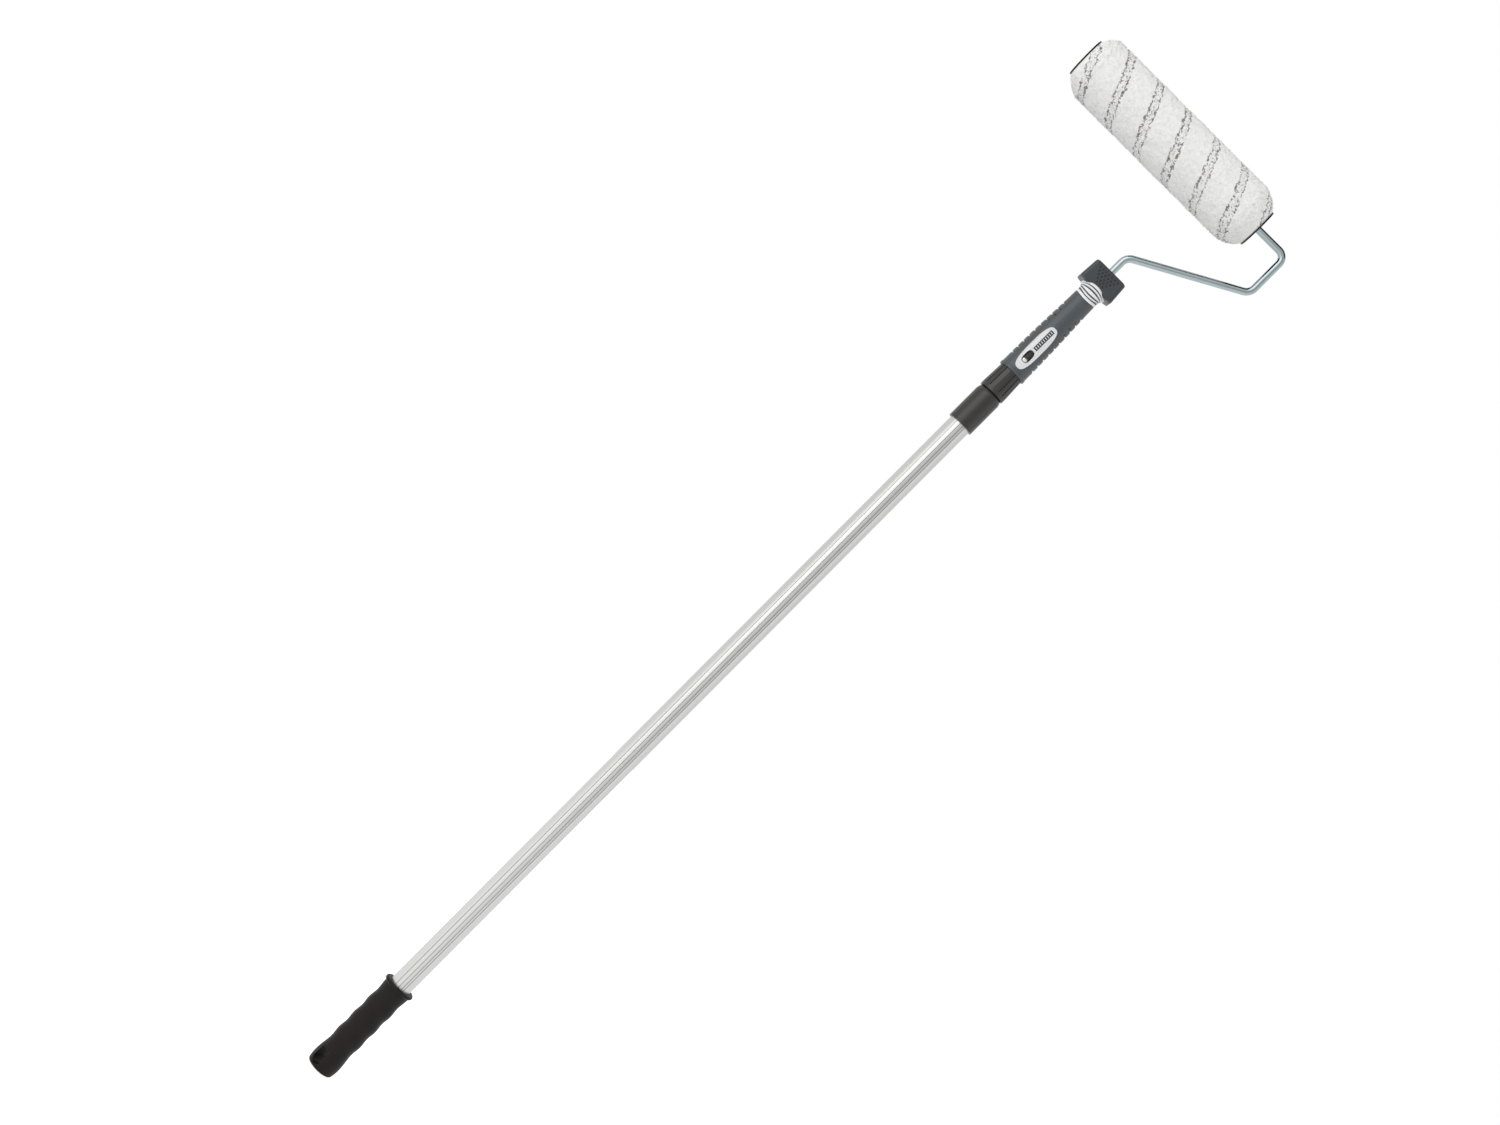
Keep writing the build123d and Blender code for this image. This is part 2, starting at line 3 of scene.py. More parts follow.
import bmesh
import bpy
import numpy as np
from mathutils import Matrix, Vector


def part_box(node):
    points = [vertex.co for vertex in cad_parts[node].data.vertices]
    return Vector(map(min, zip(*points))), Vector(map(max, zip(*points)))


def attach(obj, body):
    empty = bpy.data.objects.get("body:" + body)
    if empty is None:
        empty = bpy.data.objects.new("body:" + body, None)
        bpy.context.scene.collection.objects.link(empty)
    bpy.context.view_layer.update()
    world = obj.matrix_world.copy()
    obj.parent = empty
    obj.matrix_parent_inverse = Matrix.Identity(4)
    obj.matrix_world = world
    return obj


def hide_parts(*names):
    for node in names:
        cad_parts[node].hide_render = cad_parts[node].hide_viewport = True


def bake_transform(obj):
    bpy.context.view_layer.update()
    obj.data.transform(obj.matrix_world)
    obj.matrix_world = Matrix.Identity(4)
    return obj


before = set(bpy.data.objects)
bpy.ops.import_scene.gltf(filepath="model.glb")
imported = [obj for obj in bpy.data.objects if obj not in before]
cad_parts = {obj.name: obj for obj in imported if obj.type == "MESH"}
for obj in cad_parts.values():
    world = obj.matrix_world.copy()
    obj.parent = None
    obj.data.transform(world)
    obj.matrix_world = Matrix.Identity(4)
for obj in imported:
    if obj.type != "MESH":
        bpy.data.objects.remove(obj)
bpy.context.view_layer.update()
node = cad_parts
MM = 0.001

# ---------------------------------------------------------------- studio
# A pale floor, a white surround and two soft boxes. Grey boards beside the
# camera and a dark one overhead show only as the darker sides of bare metal.


def put(tree, kind, settings=None, sockets=None):
    """One shader node: its settings by name, then each input joined to an output or given a value."""
    made = tree.nodes.new(kind)
    for name, value in (settings or {}).items():
        setattr(made, name, value)
    for name, value in (sockets or {}).items():
        if isinstance(value, bpy.types.NodeSocket):
            tree.links.new(value, made.inputs[name])
        else:
            made.inputs[name].default_value = value
    return made


def reckon(tree, operation, *values, clamp=False):
    """One sum or product of two values, or a product of two plus a third."""
    return put(tree, "ShaderNodeMath", {"operation": operation, "use_clamp": clamp},
               dict(enumerate(values))).outputs[0]


def ranged(tree, value, start, stop, low, high, smooth=False):
    """The value carried from one range, start to stop, to another, low to high, evenly or by a smooth step."""
    step = {"interpolation_type": "SMOOTHSTEP" if smooth else "LINEAR"}
    return put(tree, "ShaderNodeMapRange", step, {"Value": value, "From Min": start, "From Max": stop,
                                                  "To Min": low, "To Max": high}).outputs[0]


def empty_material(name):
    """A material with nothing in its node tree but the output."""
    made = bpy.data.materials.new(name)
    made.use_nodes = True
    made.node_tree.nodes.clear()
    return made, made.node_tree, made.node_tree.nodes.new("ShaderNodeOutputMaterial")


def flat_board(name, corners, made_of, reflected_only=False):
    """A flat board of the studio through four corners, given in metres. One that is reflected only doesn't
    show by itself, and gives no soft light and no shadow."""
    mesh = bpy.data.meshes.new(name)
    mesh.from_pydata(corners, [], [(0, 1, 2, 3)])
    board = bpy.data.objects.new(name, mesh)
    bpy.context.scene.collection.objects.link(board)
    mesh.materials.append(made_of)
    if reflected_only:
        board.visible_camera = board.visible_diffuse = board.visible_shadow = False


def level_corners(left, near, right, far, height):
    """Corners of a level rectangle."""
    return [(left, near, height), (right, near, height), (right, far, height), (left, far, height)]


scene = bpy.context.scene
scene.view_settings.view_transform = "Standard"

FILL = 0.74
surround = bpy.data.worlds.new("surround")
surround.use_nodes = True
scene.world = surround
sky = surround.node_tree
sky.nodes.clear()
rays = put(sky, "ShaderNodeLightPath").outputs
seen = reckon(sky, "ADD", rays["Is Camera Ray"], rays["Is Glossy Ray"], clamp=True)
seen = reckon(sky, "ADD", seen, rays["Is Transmission Ray"], clamp=True)
light_or_white = put(sky, "ShaderNodeMix", {"data_type": "FLOAT"}, {"Factor": seen, "A": FILL, "B": 1.0})
glow = put(sky, "ShaderNodeBackground", None, {"Color": (1, 1, 1, 1), "Strength": light_or_white.outputs[0]})
put(sky, "ShaderNodeOutputWorld", None, {"Surface": glow.outputs[0]})

FLOOR_HALF, FLOOR_LEVEL = 4.0, -0.0005
FLOOR_GREY, FLOOR_LIFT, GLOSSY_LIFT = 0.86, 0.72, 0.7
floor_paint, tree, out = empty_material("pale_floor")
rays = put(tree, "ShaderNodeLightPath").outputs
seen = reckon(tree, "MULTIPLY_ADD", rays["Is Glossy Ray"], GLOSSY_LIFT, rays["Is Camera Ray"], clamp=True)
lift = reckon(tree, "MULTIPLY", seen, FLOOR_LIFT)
paint = put(tree, "ShaderNodeBsdfDiffuse", None, {"Color": (FLOOR_GREY, FLOOR_GREY, FLOOR_GREY, 1)})
lit = put(tree, "ShaderNodeEmission", None, {"Strength": lift})
both = put(tree, "ShaderNodeAddShader", None, {0: paint.outputs[0], 1: lit.outputs[0]})
tree.links.new(both.outputs[0], out.inputs["Surface"])
flat_board("floor", level_corners(-FLOOR_HALF, -FLOOR_HALF, FLOOR_HALF, FLOOR_HALF, FLOOR_LEVEL), floor_paint)

BOARD_LOW, BOARD_HIGH = -1.2, 2.6
BOARD_LINE = [(0.40, -2.40), (1.90, -1.65), (2.05, -1.35)]
FADE_NEAR, FADE_FAR, DIMMEST, BRIGHTEST = 0.6, 2.0, 0.66, 0.92
grey_board, tree, out = empty_material("grey_board")
place = put(tree, "ShaderNodeTexCoord").outputs["Object"]
across = put(tree, "ShaderNodeSeparateXYZ", None, {"Vector": place}).outputs["X"]
fade = ranged(tree, across, FADE_NEAR, FADE_FAR, DIMMEST, BRIGHTEST)
lit = put(tree, "ShaderNodeEmission", None, {"Color": (0.97, 0.99, 1.0, 1), "Strength": fade})
tree.links.new(lit.outputs[0], out.inputs["Surface"])
for part, (near, far) in enumerate(zip(BOARD_LINE[:-1], BOARD_LINE[1:])):
    flat_board(f"grey_board_{part}", [(*near, BOARD_LOW), (*far, BOARD_LOW),
                                      (*far, BOARD_HIGH), (*near, BOARD_HIGH)], grey_board, reflected_only=True)

ROOF_LEFT, ROOF_NEAR, ROOF_RIGHT, ROOF_FAR, ROOF_HEIGHT, ROOF_GLOW = -1.6, -1.3, 1.6, 0.6, 2.9, 0.06
roof_paint, tree, out = empty_material("roof_board")
lit = put(tree, "ShaderNodeEmission", None, {"Color": (0.95, 0.98, 1.0, 1), "Strength": ROOF_GLOW})
tree.links.new(lit.outputs[0], out.inputs["Surface"])
flat_board("roof_board", level_corners(ROOF_LEFT, ROOF_NEAR, ROOF_RIGHT, ROOF_FAR, ROOF_HEIGHT), roof_paint,
           reflected_only=True)


AIM = (-0.03, 0, 0.75)


def soft_box(name, place, size, watts):
    """A rectangular lamp that faces the aim point; size is its width and height in metres."""
    lamp = bpy.data.lights.new(name, "AREA")
    lamp.shape, lamp.size, lamp.size_y, lamp.energy = "RECTANGLE", size[0], size[1], watts
    box = bpy.data.objects.new(name, lamp)
    scene.collection.objects.link(box)
    back = np.array(place, float) - np.array(AIM, float)
    back /= np.linalg.norm(back)
    side = np.cross((0, 0, 1), back)
    side /= np.linalg.norm(side)
    turn = np.eye(4)
    turn[:3, 0], turn[:3, 1], turn[:3, 2], turn[:3, 3] = side, np.cross(back, side), back, place
    box.matrix_world = Matrix(turn.tolist())
    box.visible_camera = False


soft_box("key_box", (-1.85, -2.25, 1.75), (2.5, 3.0), 31)
soft_box("side_box", (2.6, -0.6, 1.2), (1.2, 2.4), 2.5)

EYE_X, EYE_Y, EYE_Z = -0.0525, -2.134, 0.6774
ROLL_COS, ROLL_SIN = 0.70828, 0.70593
eye = bpy.data.cameras.new("camera")
eye.lens, eye.sensor_width = 50, 36
camera = bpy.data.objects.new("camera", eye)
scene.collection.objects.link(camera)
camera.matrix_world = Matrix(((ROLL_COS, -ROLL_SIN, 0, EYE_X), (0, 0, -1, EYE_Y),
                              (ROLL_SIN, ROLL_COS, 0, EYE_Z), (0, 0, 0, 1)))
scene.camera = camera

# ---------------------------------------------------------------- end grip
# The grip is one moulding of dark plastic, pushed over the pole's foot, with
# shallow waves for the fingers, a lip at the top and a hole to hang it by.

FLOAT, COLOUR, VECTOR = "NodeSocketFloat", "NodeSocketColor", "NodeSocketVector"


def new_group(name, inputs, outputs):
    """An empty shader node group with float, colour or vector sockets, and its two ends."""
    group = bpy.data.node_groups.new(name, "ShaderNodeTree")
    for label, kind, start in inputs:
        socket = group.interface.new_socket(name=label, in_out="INPUT", socket_type=kind)
        if start is not None:
            socket.default_value = start
    for label, kind in outputs:
        group.interface.new_socket(name=label, in_out="OUTPUT", socket_type=kind)
    return group, group.nodes.new("NodeGroupInput").outputs, group.nodes.new("NodeGroupOutput").inputs


def noise(tree, vector, scale, detail, roughness=0.5):
    """Cloudy noise from 0 to 1, with so many clouds per unit of the vector."""
    return put(tree, "ShaderNodeTexNoise", None,
               {"Vector": vector, "Scale": scale, "Detail": detail, "Roughness": roughness}).outputs["Fac"]


def mixed(tree, share, low, high, kind="MIX"):
    """A colour between two by a share from 0 to 1, or with MULTIPLY the first times the second."""
    return put(tree, "ShaderNodeMix", {"data_type": "RGBA", "blend_type": kind},
               {0: share, 6: low, 7: high}).outputs[2]


moulded, given, result = new_group(
    "moulded_surface",
    [("Vector", VECTOR, None), ("Colour", COLOUR, (0.1, 0.1, 0.1, 1)), ("Worn", COLOUR, (0.2, 0.2, 0.2, 1)),
     ("Grain", FLOAT, 1800.0), ("Rub", FLOAT, 0.3), ("Gloss", FLOAT, 0.45)],
    [("Colour", COLOUR), ("Roughness", FLOAT), ("Height", FLOAT)])
grain = noise(moulded, given["Vector"], given["Grain"], 3.0)
cells = put(moulded, "ShaderNodeTexVoronoi", {"feature": "SMOOTH_F1"},
            {"Vector": given["Vector"], "Scale": given["Grain"]}).outputs["Distance"]
patches = noise(moulded, given["Vector"], 55.0, 5.0, 0.6)
specks = noise(moulded, given["Vector"], 620.0, 4.0)
rubbed = ranged(moulded, patches, 0.48, 0.75, 0.0, given["Rub"], smooth=True)
worn = mixed(moulded, rubbed, given["Colour"], given["Worn"])
dusty = ranged(moulded, specks, 0.3, 0.7, 0.95, 1.05)
uneven = ranged(moulded, patches, 0.3, 0.7, -0.06, 0.06)
moulded.links.new(mixed(moulded, 1.0, worn, dusty, "MULTIPLY"), result["Colour"])
moulded.links.new(reckon(moulded, "ADD", given["Gloss"], uneven), result["Roughness"])
moulded.links.new(reckon(moulded, "ADD", grain, cells), result["Height"])


def plastic(name, colour, worn, gloss, grain=1800.0, rub=0.35, bump=0.00004, sheen=0.0, shine=0.5):
    """A moulded plastic: colour with rubbed patches and specks, uneven gloss, and a fine grain."""
    made, tree, out = empty_material(name)
    place = put(tree, "ShaderNodeTexCoord").outputs["Object"]
    skin = put(tree, "ShaderNodeGroup", {"node_tree": moulded},
               {"Vector": place, "Colour": (*colour, 1), "Worn": (*worn, 1), "Grain": grain, "Rub": rub,
                "Gloss": gloss}).outputs
    relief = put(tree, "ShaderNodeBump", None, {"Height": skin["Height"], "Strength": 0.6, "Distance": bump})
    shader = put(tree, "ShaderNodeBsdfPrincipled", None,
                 {"Base Color": skin["Colour"], "Roughness": skin["Roughness"], "Normal": relief.outputs[0],
                  "Specular IOR Level": shine})
    if sheen:
        shader.inputs["Sheen Weight"].default_value = sheen
        shader.inputs["Sheen Roughness"].default_value = 0.5
    tree.links.new(shader.outputs[0], out.inputs["Surface"])
    return made


def dress(made_of, *names):
    """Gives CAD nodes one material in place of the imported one."""
    for name in names:
        node[name].data.materials.clear()
        node[name].data.materials.append(made_of)


dress(plastic("grip_plastic", (0.0150, 0.0122, 0.0112), (0.020, 0.0175, 0.0165), 0.44, grain=1400.0,
              bump=0.00005, shine=0.12), "end_grip")

# ---------------------------------------------------------------- outer tube
# A drawn aluminium tube with three sets of shallow flutes down its length, left
# as drawn, so it shows fine lines and a few scuffs along it.

drawn, given, result = new_group(
    "drawn_metal",
    [("Vector", VECTOR, None), ("Colour", COLOUR, (0.6, 0.6, 0.6, 1)), ("Dull", COLOUR, (0.5, 0.5, 0.5, 1)),
     ("Gloss", FLOAT, 0.3), ("Scuffs", FLOAT, 0.3)],
    [("Colour", COLOUR), ("Roughness", FLOAT), ("Height", FLOAT)])
lines = noise(drawn, given["Vector"], 1.0, 4.0, 0.65)
broad = noise(drawn, given["Vector"], 0.13, 3.0)
streak = ranged(drawn, lines, 0.25, 0.75, 0.0, 1.0)
smear = ranged(drawn, broad, 0.45, 0.72, 0.0, given["Scuffs"], smooth=True)
share = reckon(drawn, "MULTIPLY_ADD", streak, 0.45, smear, clamp=True)
spread = reckon(drawn, "MULTIPLY", share, 0.12)
drawn.links.new(mixed(drawn, share, given["Colour"], given["Dull"]), result["Colour"])
drawn.links.new(reckon(drawn, "ADD", given["Gloss"], spread), result["Roughness"])
drawn.links.new(lines, result["Height"])


def bare_metal(name, colour, dull, gloss, stretch, scuffs=0.3, bump=0.00002, source="Object", flute_shade=None):
    """A metal with lines drawn along it: stretch gives the pattern's count per metre on each axis. The flute
    radii, in metres, are those of a tube's flutes at their floor and at their mouth; between them the colour
    darkens towards the floor, painted shade in the flutes' hollows."""
    made, tree, out = empty_material(name)
    place = put(tree, "ShaderNodeTexCoord").outputs
    along = put(tree, "ShaderNodeMapping", None, {"Vector": place[source], "Scale": stretch})
    skin = put(tree, "ShaderNodeGroup", {"node_tree": drawn},
               {"Vector": along.outputs[0], "Colour": (*colour, 1), "Dull": (*dull, 1), "Gloss": gloss,
                "Scuffs": scuffs}).outputs
    relief = put(tree, "ShaderNodeBump", None, {"Height": skin["Height"], "Strength": 0.4, "Distance": bump})
    tone = skin["Colour"]
    if flute_shade:
        # Painted shade: the colour is darkened towards the floor of the tube's flutes.
        flat = put(tree, "ShaderNodeVectorMath", {"operation": "MULTIPLY"}, {0: place["Object"], 1: (1, 1, 0)})
        away = put(tree, "ShaderNodeVectorMath", {"operation": "LENGTH"}, {0: flat.outputs["Vector"]})
        tone = mixed(tree, 1.0, tone, ranged(tree, away.outputs["Value"], *flute_shade, 0.55, 1.0), "MULTIPLY")
    shader = put(tree, "ShaderNodeBsdfPrincipled", None,
                 {"Base Color": tone, "Roughness": skin["Roughness"], "Metallic": 1.0,
                  "Normal": relief.outputs[0]})
    tree.links.new(shader.outputs[0], out.inputs["Surface"])
    return made


# The tube's flutes get painted shade, darker towards their floors.
dress(bare_metal("fluted_aluminium", (0.59, 0.59, 0.573), (0.53, 0.53, 0.514), 0.33, (520, 520, 2.5),
                 bump=0.000004, flute_shade=(0.01220, 0.01245)), "outer_tube")

# ---------------------------------------------------------------- collar
# The collar is a plastic moulding shrunk over the tube's mouth; a nylon bush
# under it guides the inner tube, and a rubber ring wipes it clean.

collar_plastic = plastic("collar_plastic", (0.018, 0.0145, 0.0135), (0.027, 0.023, 0.022), 0.34, grain=2400.0,
                         bump=0.00002, shine=0.52)
nylon = plastic("nylon", (0.70, 0.69, 0.64), (0.60, 0.59, 0.54), 0.42, grain=2400.0)
dress(collar_plastic, "outer_collar")
dress(nylon, "guide_bush")


def smooth_mesh(name, points, faces):
    """A smooth mesh from points in millimetres and lists of their numbers, one for each face."""
    mesh = bpy.data.meshes.new(name)
    mesh.from_pydata((points.reshape(-1, 3) * MM).tolist(), [], faces)
    mesh.polygons.foreach_set("use_smooth", np.ones(len(mesh.polygons), bool))
    return mesh


def cells_of(grid):
    """The four corners of each cell of a grid, in order round it."""
    return np.stack([grid[:-1, :-1], grid[:-1, 1:], grid[1:, 1:], grid[1:, :-1]], 2)


def grid_mesh(name, grids, round_rows=True, round_columns=True, lids=False, uv=None):
    """One mesh of four-sided faces over grids of points [rows, columns, 3] in millimetres. Rows or columns
    that go all the way round are joined up, and lids close each grid's last row with one many-sided face.
    uv is for a single grid, and one wider each way that goes round."""
    faces, start = [], 0
    for points in grids:
        rows, columns = points.shape[:2]
        number = start + np.arange(rows * columns).reshape(rows, columns)
        start += rows * columns
        if lids:
            faces.append(number[-1].tolist())
        if round_rows:
            number = np.concatenate([number, number[:1]], 0)
        if round_columns:
            number = np.concatenate([number, number[:, :1]], 1)
        faces += cells_of(number).reshape(-1, 4).tolist()
    mesh = smooth_mesh(name, np.concatenate([points.reshape(-1, 3) for points in grids]), faces)
    if uv is not None:
        mesh.uv_layers.new(name="along").data.foreach_set("uv", cells_of(uv).astype(np.float32).ravel())
    return mesh


SAME_PLACE = 1e-7


def close_back(mesh):
    """Joins points that lie on each other, fills each open rim with one face and turns every face outwards."""
    shell = bmesh.new()
    shell.from_mesh(mesh)
    bmesh.ops.remove_doubles(shell, verts=shell.verts, dist=SAME_PLACE)
    bmesh.ops.dissolve_degenerate(shell, edges=shell.edges, dist=SAME_PLACE)
    bmesh.ops.holes_fill(shell, edges=[edge for edge in shell.edges if edge.is_boundary], sides=0)
    bmesh.ops.recalc_face_normals(shell, faces=shell.faces)
    shell.to_mesh(mesh)
    shell.free()


def piece(name, mesh, made_of, body, finish_slot, *stands_for):
    """The mesh as an object of the model, with its material, the body it rides on and the CAD nodes that it
    stands for. The finish slot is not used."""
    made = bpy.data.objects.new(name, mesh)
    scene.collection.objects.link(made)
    mesh.materials.append(made_of)
    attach(made, body)
    if stands_for:
        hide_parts(*stands_for)
    return made


WIPER_IN, WIPER_OUT, WIPER_LOW, WIPER_TOP = 11.08, 12.9, 972.1, 974.45
around = np.linspace(0, 2 * np.pi, 72, endpoint=False)
profile = np.array([
    (WIPER_OUT, WIPER_LOW), (WIPER_OUT, WIPER_TOP - 0.4), (WIPER_OUT - 0.15, WIPER_TOP - 0.1),
    (WIPER_OUT - 0.5, WIPER_TOP), (WIPER_IN + 0.4, WIPER_TOP), (WIPER_IN + 0.1, WIPER_TOP - 0.15),
    (WIPER_IN, WIPER_TOP - 0.5), (WIPER_IN, WIPER_LOW)])
radius, height = profile[:, :1], profile[:, 1:]
points = np.stack([radius * np.sin(around), -radius * np.cos(around), height + 0 * around], -1)
ring_rubber = plastic("ring_rubber", (0.010, 0.010, 0.010), (0.02, 0.02, 0.02), 0.7, shine=0.2)
piece("wiper_ring", grid_mesh("wiper_ring", [points]), ring_rubber, "outer_pole", "ring_rubber")

# ---------------------------------------------------------------- lock
# Inside the tube a cone nut climbs a screw when the inner tube is twisted and
# spreads a split nylon collet against the outer tube's wall.

lock_plastic = plastic("lock_plastic", (0.045, 0.045, 0.050), (0.075, 0.075, 0.080), 0.45)
plated = bare_metal("plated_steel_parts", (0.60, 0.63, 0.64), (0.46, 0.49, 0.51), 0.24, (900, 900, 900))
dress(nylon, "lock_collet")
dress(lock_plastic, "lock_cone", "lock_spindle")
dress(ring_rubber, "drag_ring")
dress(plated, "spindle_screw", "spindle_washer")

# ---------------------------------------------------------------- inner tube and adapter
# The plain inner tube slides in the outer one. Its top carries a ribbed plastic
# adapter, held by one rivet, whose plug goes up into the roller's handle.

dress(bare_metal("plain_aluminium", (0.66, 0.66, 0.64), (0.56, 0.56, 0.54), 0.28, (520, 520, 2.5),
                 bump=0.000004), "inner_tube")
dress(plastic("adapter_plastic", (0.021, 0.017, 0.0155), (0.031, 0.026, 0.024), 0.34, grain=2400.0,
              bump=0.00002, shine=0.52), "adapter")
dress(bare_metal("rivet_aluminium", (0.66, 0.66, 0.64), (0.52, 0.52, 0.50), 0.30, (700, 700, 700)),
      "adapter_rivet")

# ---------------------------------------------------------------- snap button
# A sprung steel button stands in the handle's window and locks the plug there.
# Its strip spring is bent up inside the plug, and is cut across into thin
# level slices.

LEAF_BACK, LEAF_FRONT, LEAF_CUTS = 5.9, -3.9, 14

button_steel = bare_metal("button_steel", (0.78, 0.75, 0.70), (0.62, 0.60, 0.56), 0.16, (500, 500, 500))
dress(button_steel, "lock_button")

leaf_low, leaf_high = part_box("button_spring")
leaf = bmesh.new()
leaf.from_mesh(node["button_spring"].data)
for level in np.linspace(leaf_low[2], leaf_high[2], LEAF_CUTS + 2)[1:-1]:
    bmesh.ops.bisect_plane(leaf, geom=leaf.verts[:] + leaf.edges[:] + leaf.faces[:],
                           plane_co=(0, 0, float(level)), plane_no=(0, 0, 1))
for face in leaf.faces:
    face.smooth = False
mesh = bpy.data.meshes.new("button_leaf")
leaf.to_mesh(mesh)
leaf.free()
mesh.materials.append(button_steel)
button_leaf = bpy.data.objects.new("button_leaf", mesh)
scene.collection.objects.link(button_leaf)
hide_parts("button_spring")
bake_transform(button_leaf)

# ---------------------------------------------------------------- soft grip
# The handle is a white core with a slate rubber skin moulded over it: a tapered
# body with thumb slits down its sides, and the dark lines of a flared neck. Its
# block-shaped head is a darker rubber, with small studs back and front.

SKIN_INNER = 2.6
HEIGHTS, HALF_WIDE, HALF_DEEP = np.array([
    (1003.6, 15.7, 14.8), (1010, 15.5, 14.7), (1030, 15.2, 14.5), (1050, 14.8, 14.2), (1070, 14.1, 13.6),
    (1090, 13.2, 12.8), (1105, 12.85, 12.3), (1116, 12.6, 12.1), (1117.5, 13.0, 12.3), (1119, 13.9, 12.6),
    (1120.4, 14.9, 13.0), (1121.6, 15.6, 13.3), (1123, 15.8, 13.5), (1127, 15.9, 13.7)]).T
BLUNT, SECTION_POWER = 1.2, 2.15
SLITS, SLIT_FIRST, SLIT_PITCH = 10, 1020.0, 8.0
SLIT_DEEP, SLIT_WIDE, SLIT_SHARP = 1.85, 1.1, 0.6
SLIT_SIDE, SLIT_FADE, SLIT_LONGER, LONGEST_SLIT, LONGER_OVER = 0.80, 0.10, 0.17, 7.0, 1.6
SCALLOP, SCALLOP_SIDE, SCALLOP_FADE, SCALLOP_ZERO, SCALLOP_FULL = 0.45, 0.72, 0.2, 0.6, 2.5


def smooth_step(share):
    """0 to 1 with level ends: three times the square less twice the cube."""
    return share * share * (3 - 2 * share)


def quarter_round(share):
    """How far a quarter circle of radius 1 lies inside its corner: 1 less the root of the share times 2 less
    the share."""
    return 1 - np.sqrt(share * (2 - share))


def handle_width(z):
    """Half width and half depth of the handle's section at each height: the table's, averaged over a short
    span so that its corners are blunt."""
    return [(np.interp(z + BLUNT, HEIGHTS, half) + np.interp(z - BLUNT, HEIGHTS, half)
             + 2 * np.interp(z, HEIGHTS, half)) / 4 for half in (HALF_WIDE, HALF_DEEP)]


def handle_ring(turn, z, proud=0.0):
    """Points on the handle's section at each height: a slightly squared ellipse, its two half axes made
    longer by proud, with the turn measured from the front towards +X."""
    wide, deep = handle_width(z)
    across = np.sign(np.sin(turn)) * np.abs(np.sin(turn)) ** (2 / SECTION_POWER)
    front = np.sign(np.cos(turn)) * np.abs(np.cos(turn)) ** (2 / SECTION_POWER)
    return np.stack([(wide + proud) * across, -(deep + proud) * front, z + 0 * turn], -1)


def slit_relief(turn, z):
    """How far the skin stands proud of its plain section: down in each side slit, and a little up between
    two slits, only near the sides; the middle slits reach further round."""
    number = (z - SLIT_FIRST) / SLIT_PITCH
    nearest = np.round(number)
    off = np.abs(number - nearest) * SLIT_PITCH
    half_row = (SLITS - 1) / 2
    among = np.clip(1 - np.clip(np.abs(nearest - half_row) - half_row, 0, 1), 0, 1)
    reach = SLIT_SIDE - SLIT_LONGER * np.exp(-((nearest - LONGEST_SLIT) / LONGER_OVER) ** 2)
    side = smooth_step(np.clip((np.abs(np.sin(turn)) - reach) / SLIT_FADE, 0, 1))
    cut = np.clip(1 - off / SLIT_WIDE, 0, 1) ** SLIT_SHARP
    swell = 1 - np.clip(np.abs(off - SLIT_PITCH / 2) / (SLIT_PITCH / 2), 0, 1) ** SCALLOP_FULL
    wave = np.clip((np.abs(np.sin(turn)) - SCALLOP_SIDE) / SCALLOP_FADE, 0, 1)
    return among * (-SLIT_DEEP * cut * side + SCALLOP * (swell - SCALLOP_ZERO) * wave)


def band_height(turn, middle, side):
    """Height of a line round the neck: middle at front and back, side at the sides, joined by sin squared."""
    return middle + (side - middle) * np.sin(turn) ** 2


def band_shell(turn, low, high, proud, rounding, rows=9, dip=0.0):
    """A closed ring of moulding between two lines round the neck, each given as its heights at the middle and
    the side: a rounded outer face that stands proud, less at front and back by dip, and an inner face inside
    the wall."""
    low, high = band_height(turn, *low), band_height(turn, *high)
    share = np.linspace(0, 1, rows)[:, None]
    z = low + (high - low) * share
    edge = np.clip(np.minimum(share, 1 - share) * (high - low) / rounding, 0, 1)
    face = handle_ring(turn, z, proud - dip * np.cos(turn) ** 2 - rounding * quarter_round(edge))
    return np.concatenate([face, handle_ring(turn, z, -SKIN_INNER)[::-1]], 0)


neck_turn = np.linspace(0, 2 * np.pi, 176, endpoint=False)

# The body, from its foot up: a rounded foot, a raised rim, the slits and a lip under the lowest white band.
BODY_FOOT, BODY_ROUND, BODY_TOP = 1003.6, 0.7, (1107.6, 1110.2)
RIM_TOP, RIM_PROUD, RIM_SOFT, MOST_POWER = 1007.2, 0.35, 0.12, 700
slit_z = (SLIT_FIRST + SLIT_PITCH * np.arange(SLITS)[:, None]
          + np.array([-3.2, -2.2, -1.3, -1.0, -0.8, -0.5, -0.2, 0.2, 0.5, 0.8, 1.0, 1.3, 2.2, 3.2, 4.0]))
plain_z = [BODY_FOOT, 1003.75, 1004.1, 1004.8, 1005.8, 1006.8, 1007.1, 1007.4, 1007.8, 1009, 1011, 1013, 1015,
           1098, 1101, 1103.4]
body_z = np.concatenate([np.unique(np.concatenate([slit_z.ravel(), plain_z])), np.linspace(1104.3, 1106.1, 4)])
body_z = body_z[:, None] + 0 * neck_turn
rim = RIM_PROUD / (1 + np.exp(np.minimum((body_z - RIM_TOP) / RIM_SOFT, MOST_POWER)))
rim -= BODY_ROUND * quarter_round(np.clip((body_z - BODY_FOOT) / BODY_ROUND, 0, 1))
body_face = handle_ring(neck_turn, body_z, rim + slit_relief(neck_turn, body_z))
lip_z = band_height(neck_turn, *BODY_TOP) - np.array([0.9, 0.45, 0.2, 0.05, 0.0])[:, None]
body_lip = handle_ring(neck_turn, lip_z, np.array([0.0, -0.02, -0.1, -0.25, -0.5])[:, None])
wall_z = np.concatenate([lip_z[-1:], body_z[::-12], body_z[:1]], 0)
grip_body = np.concatenate([body_face, body_lip, handle_ring(neck_turn, wall_z, -SKIN_INNER)], 0)

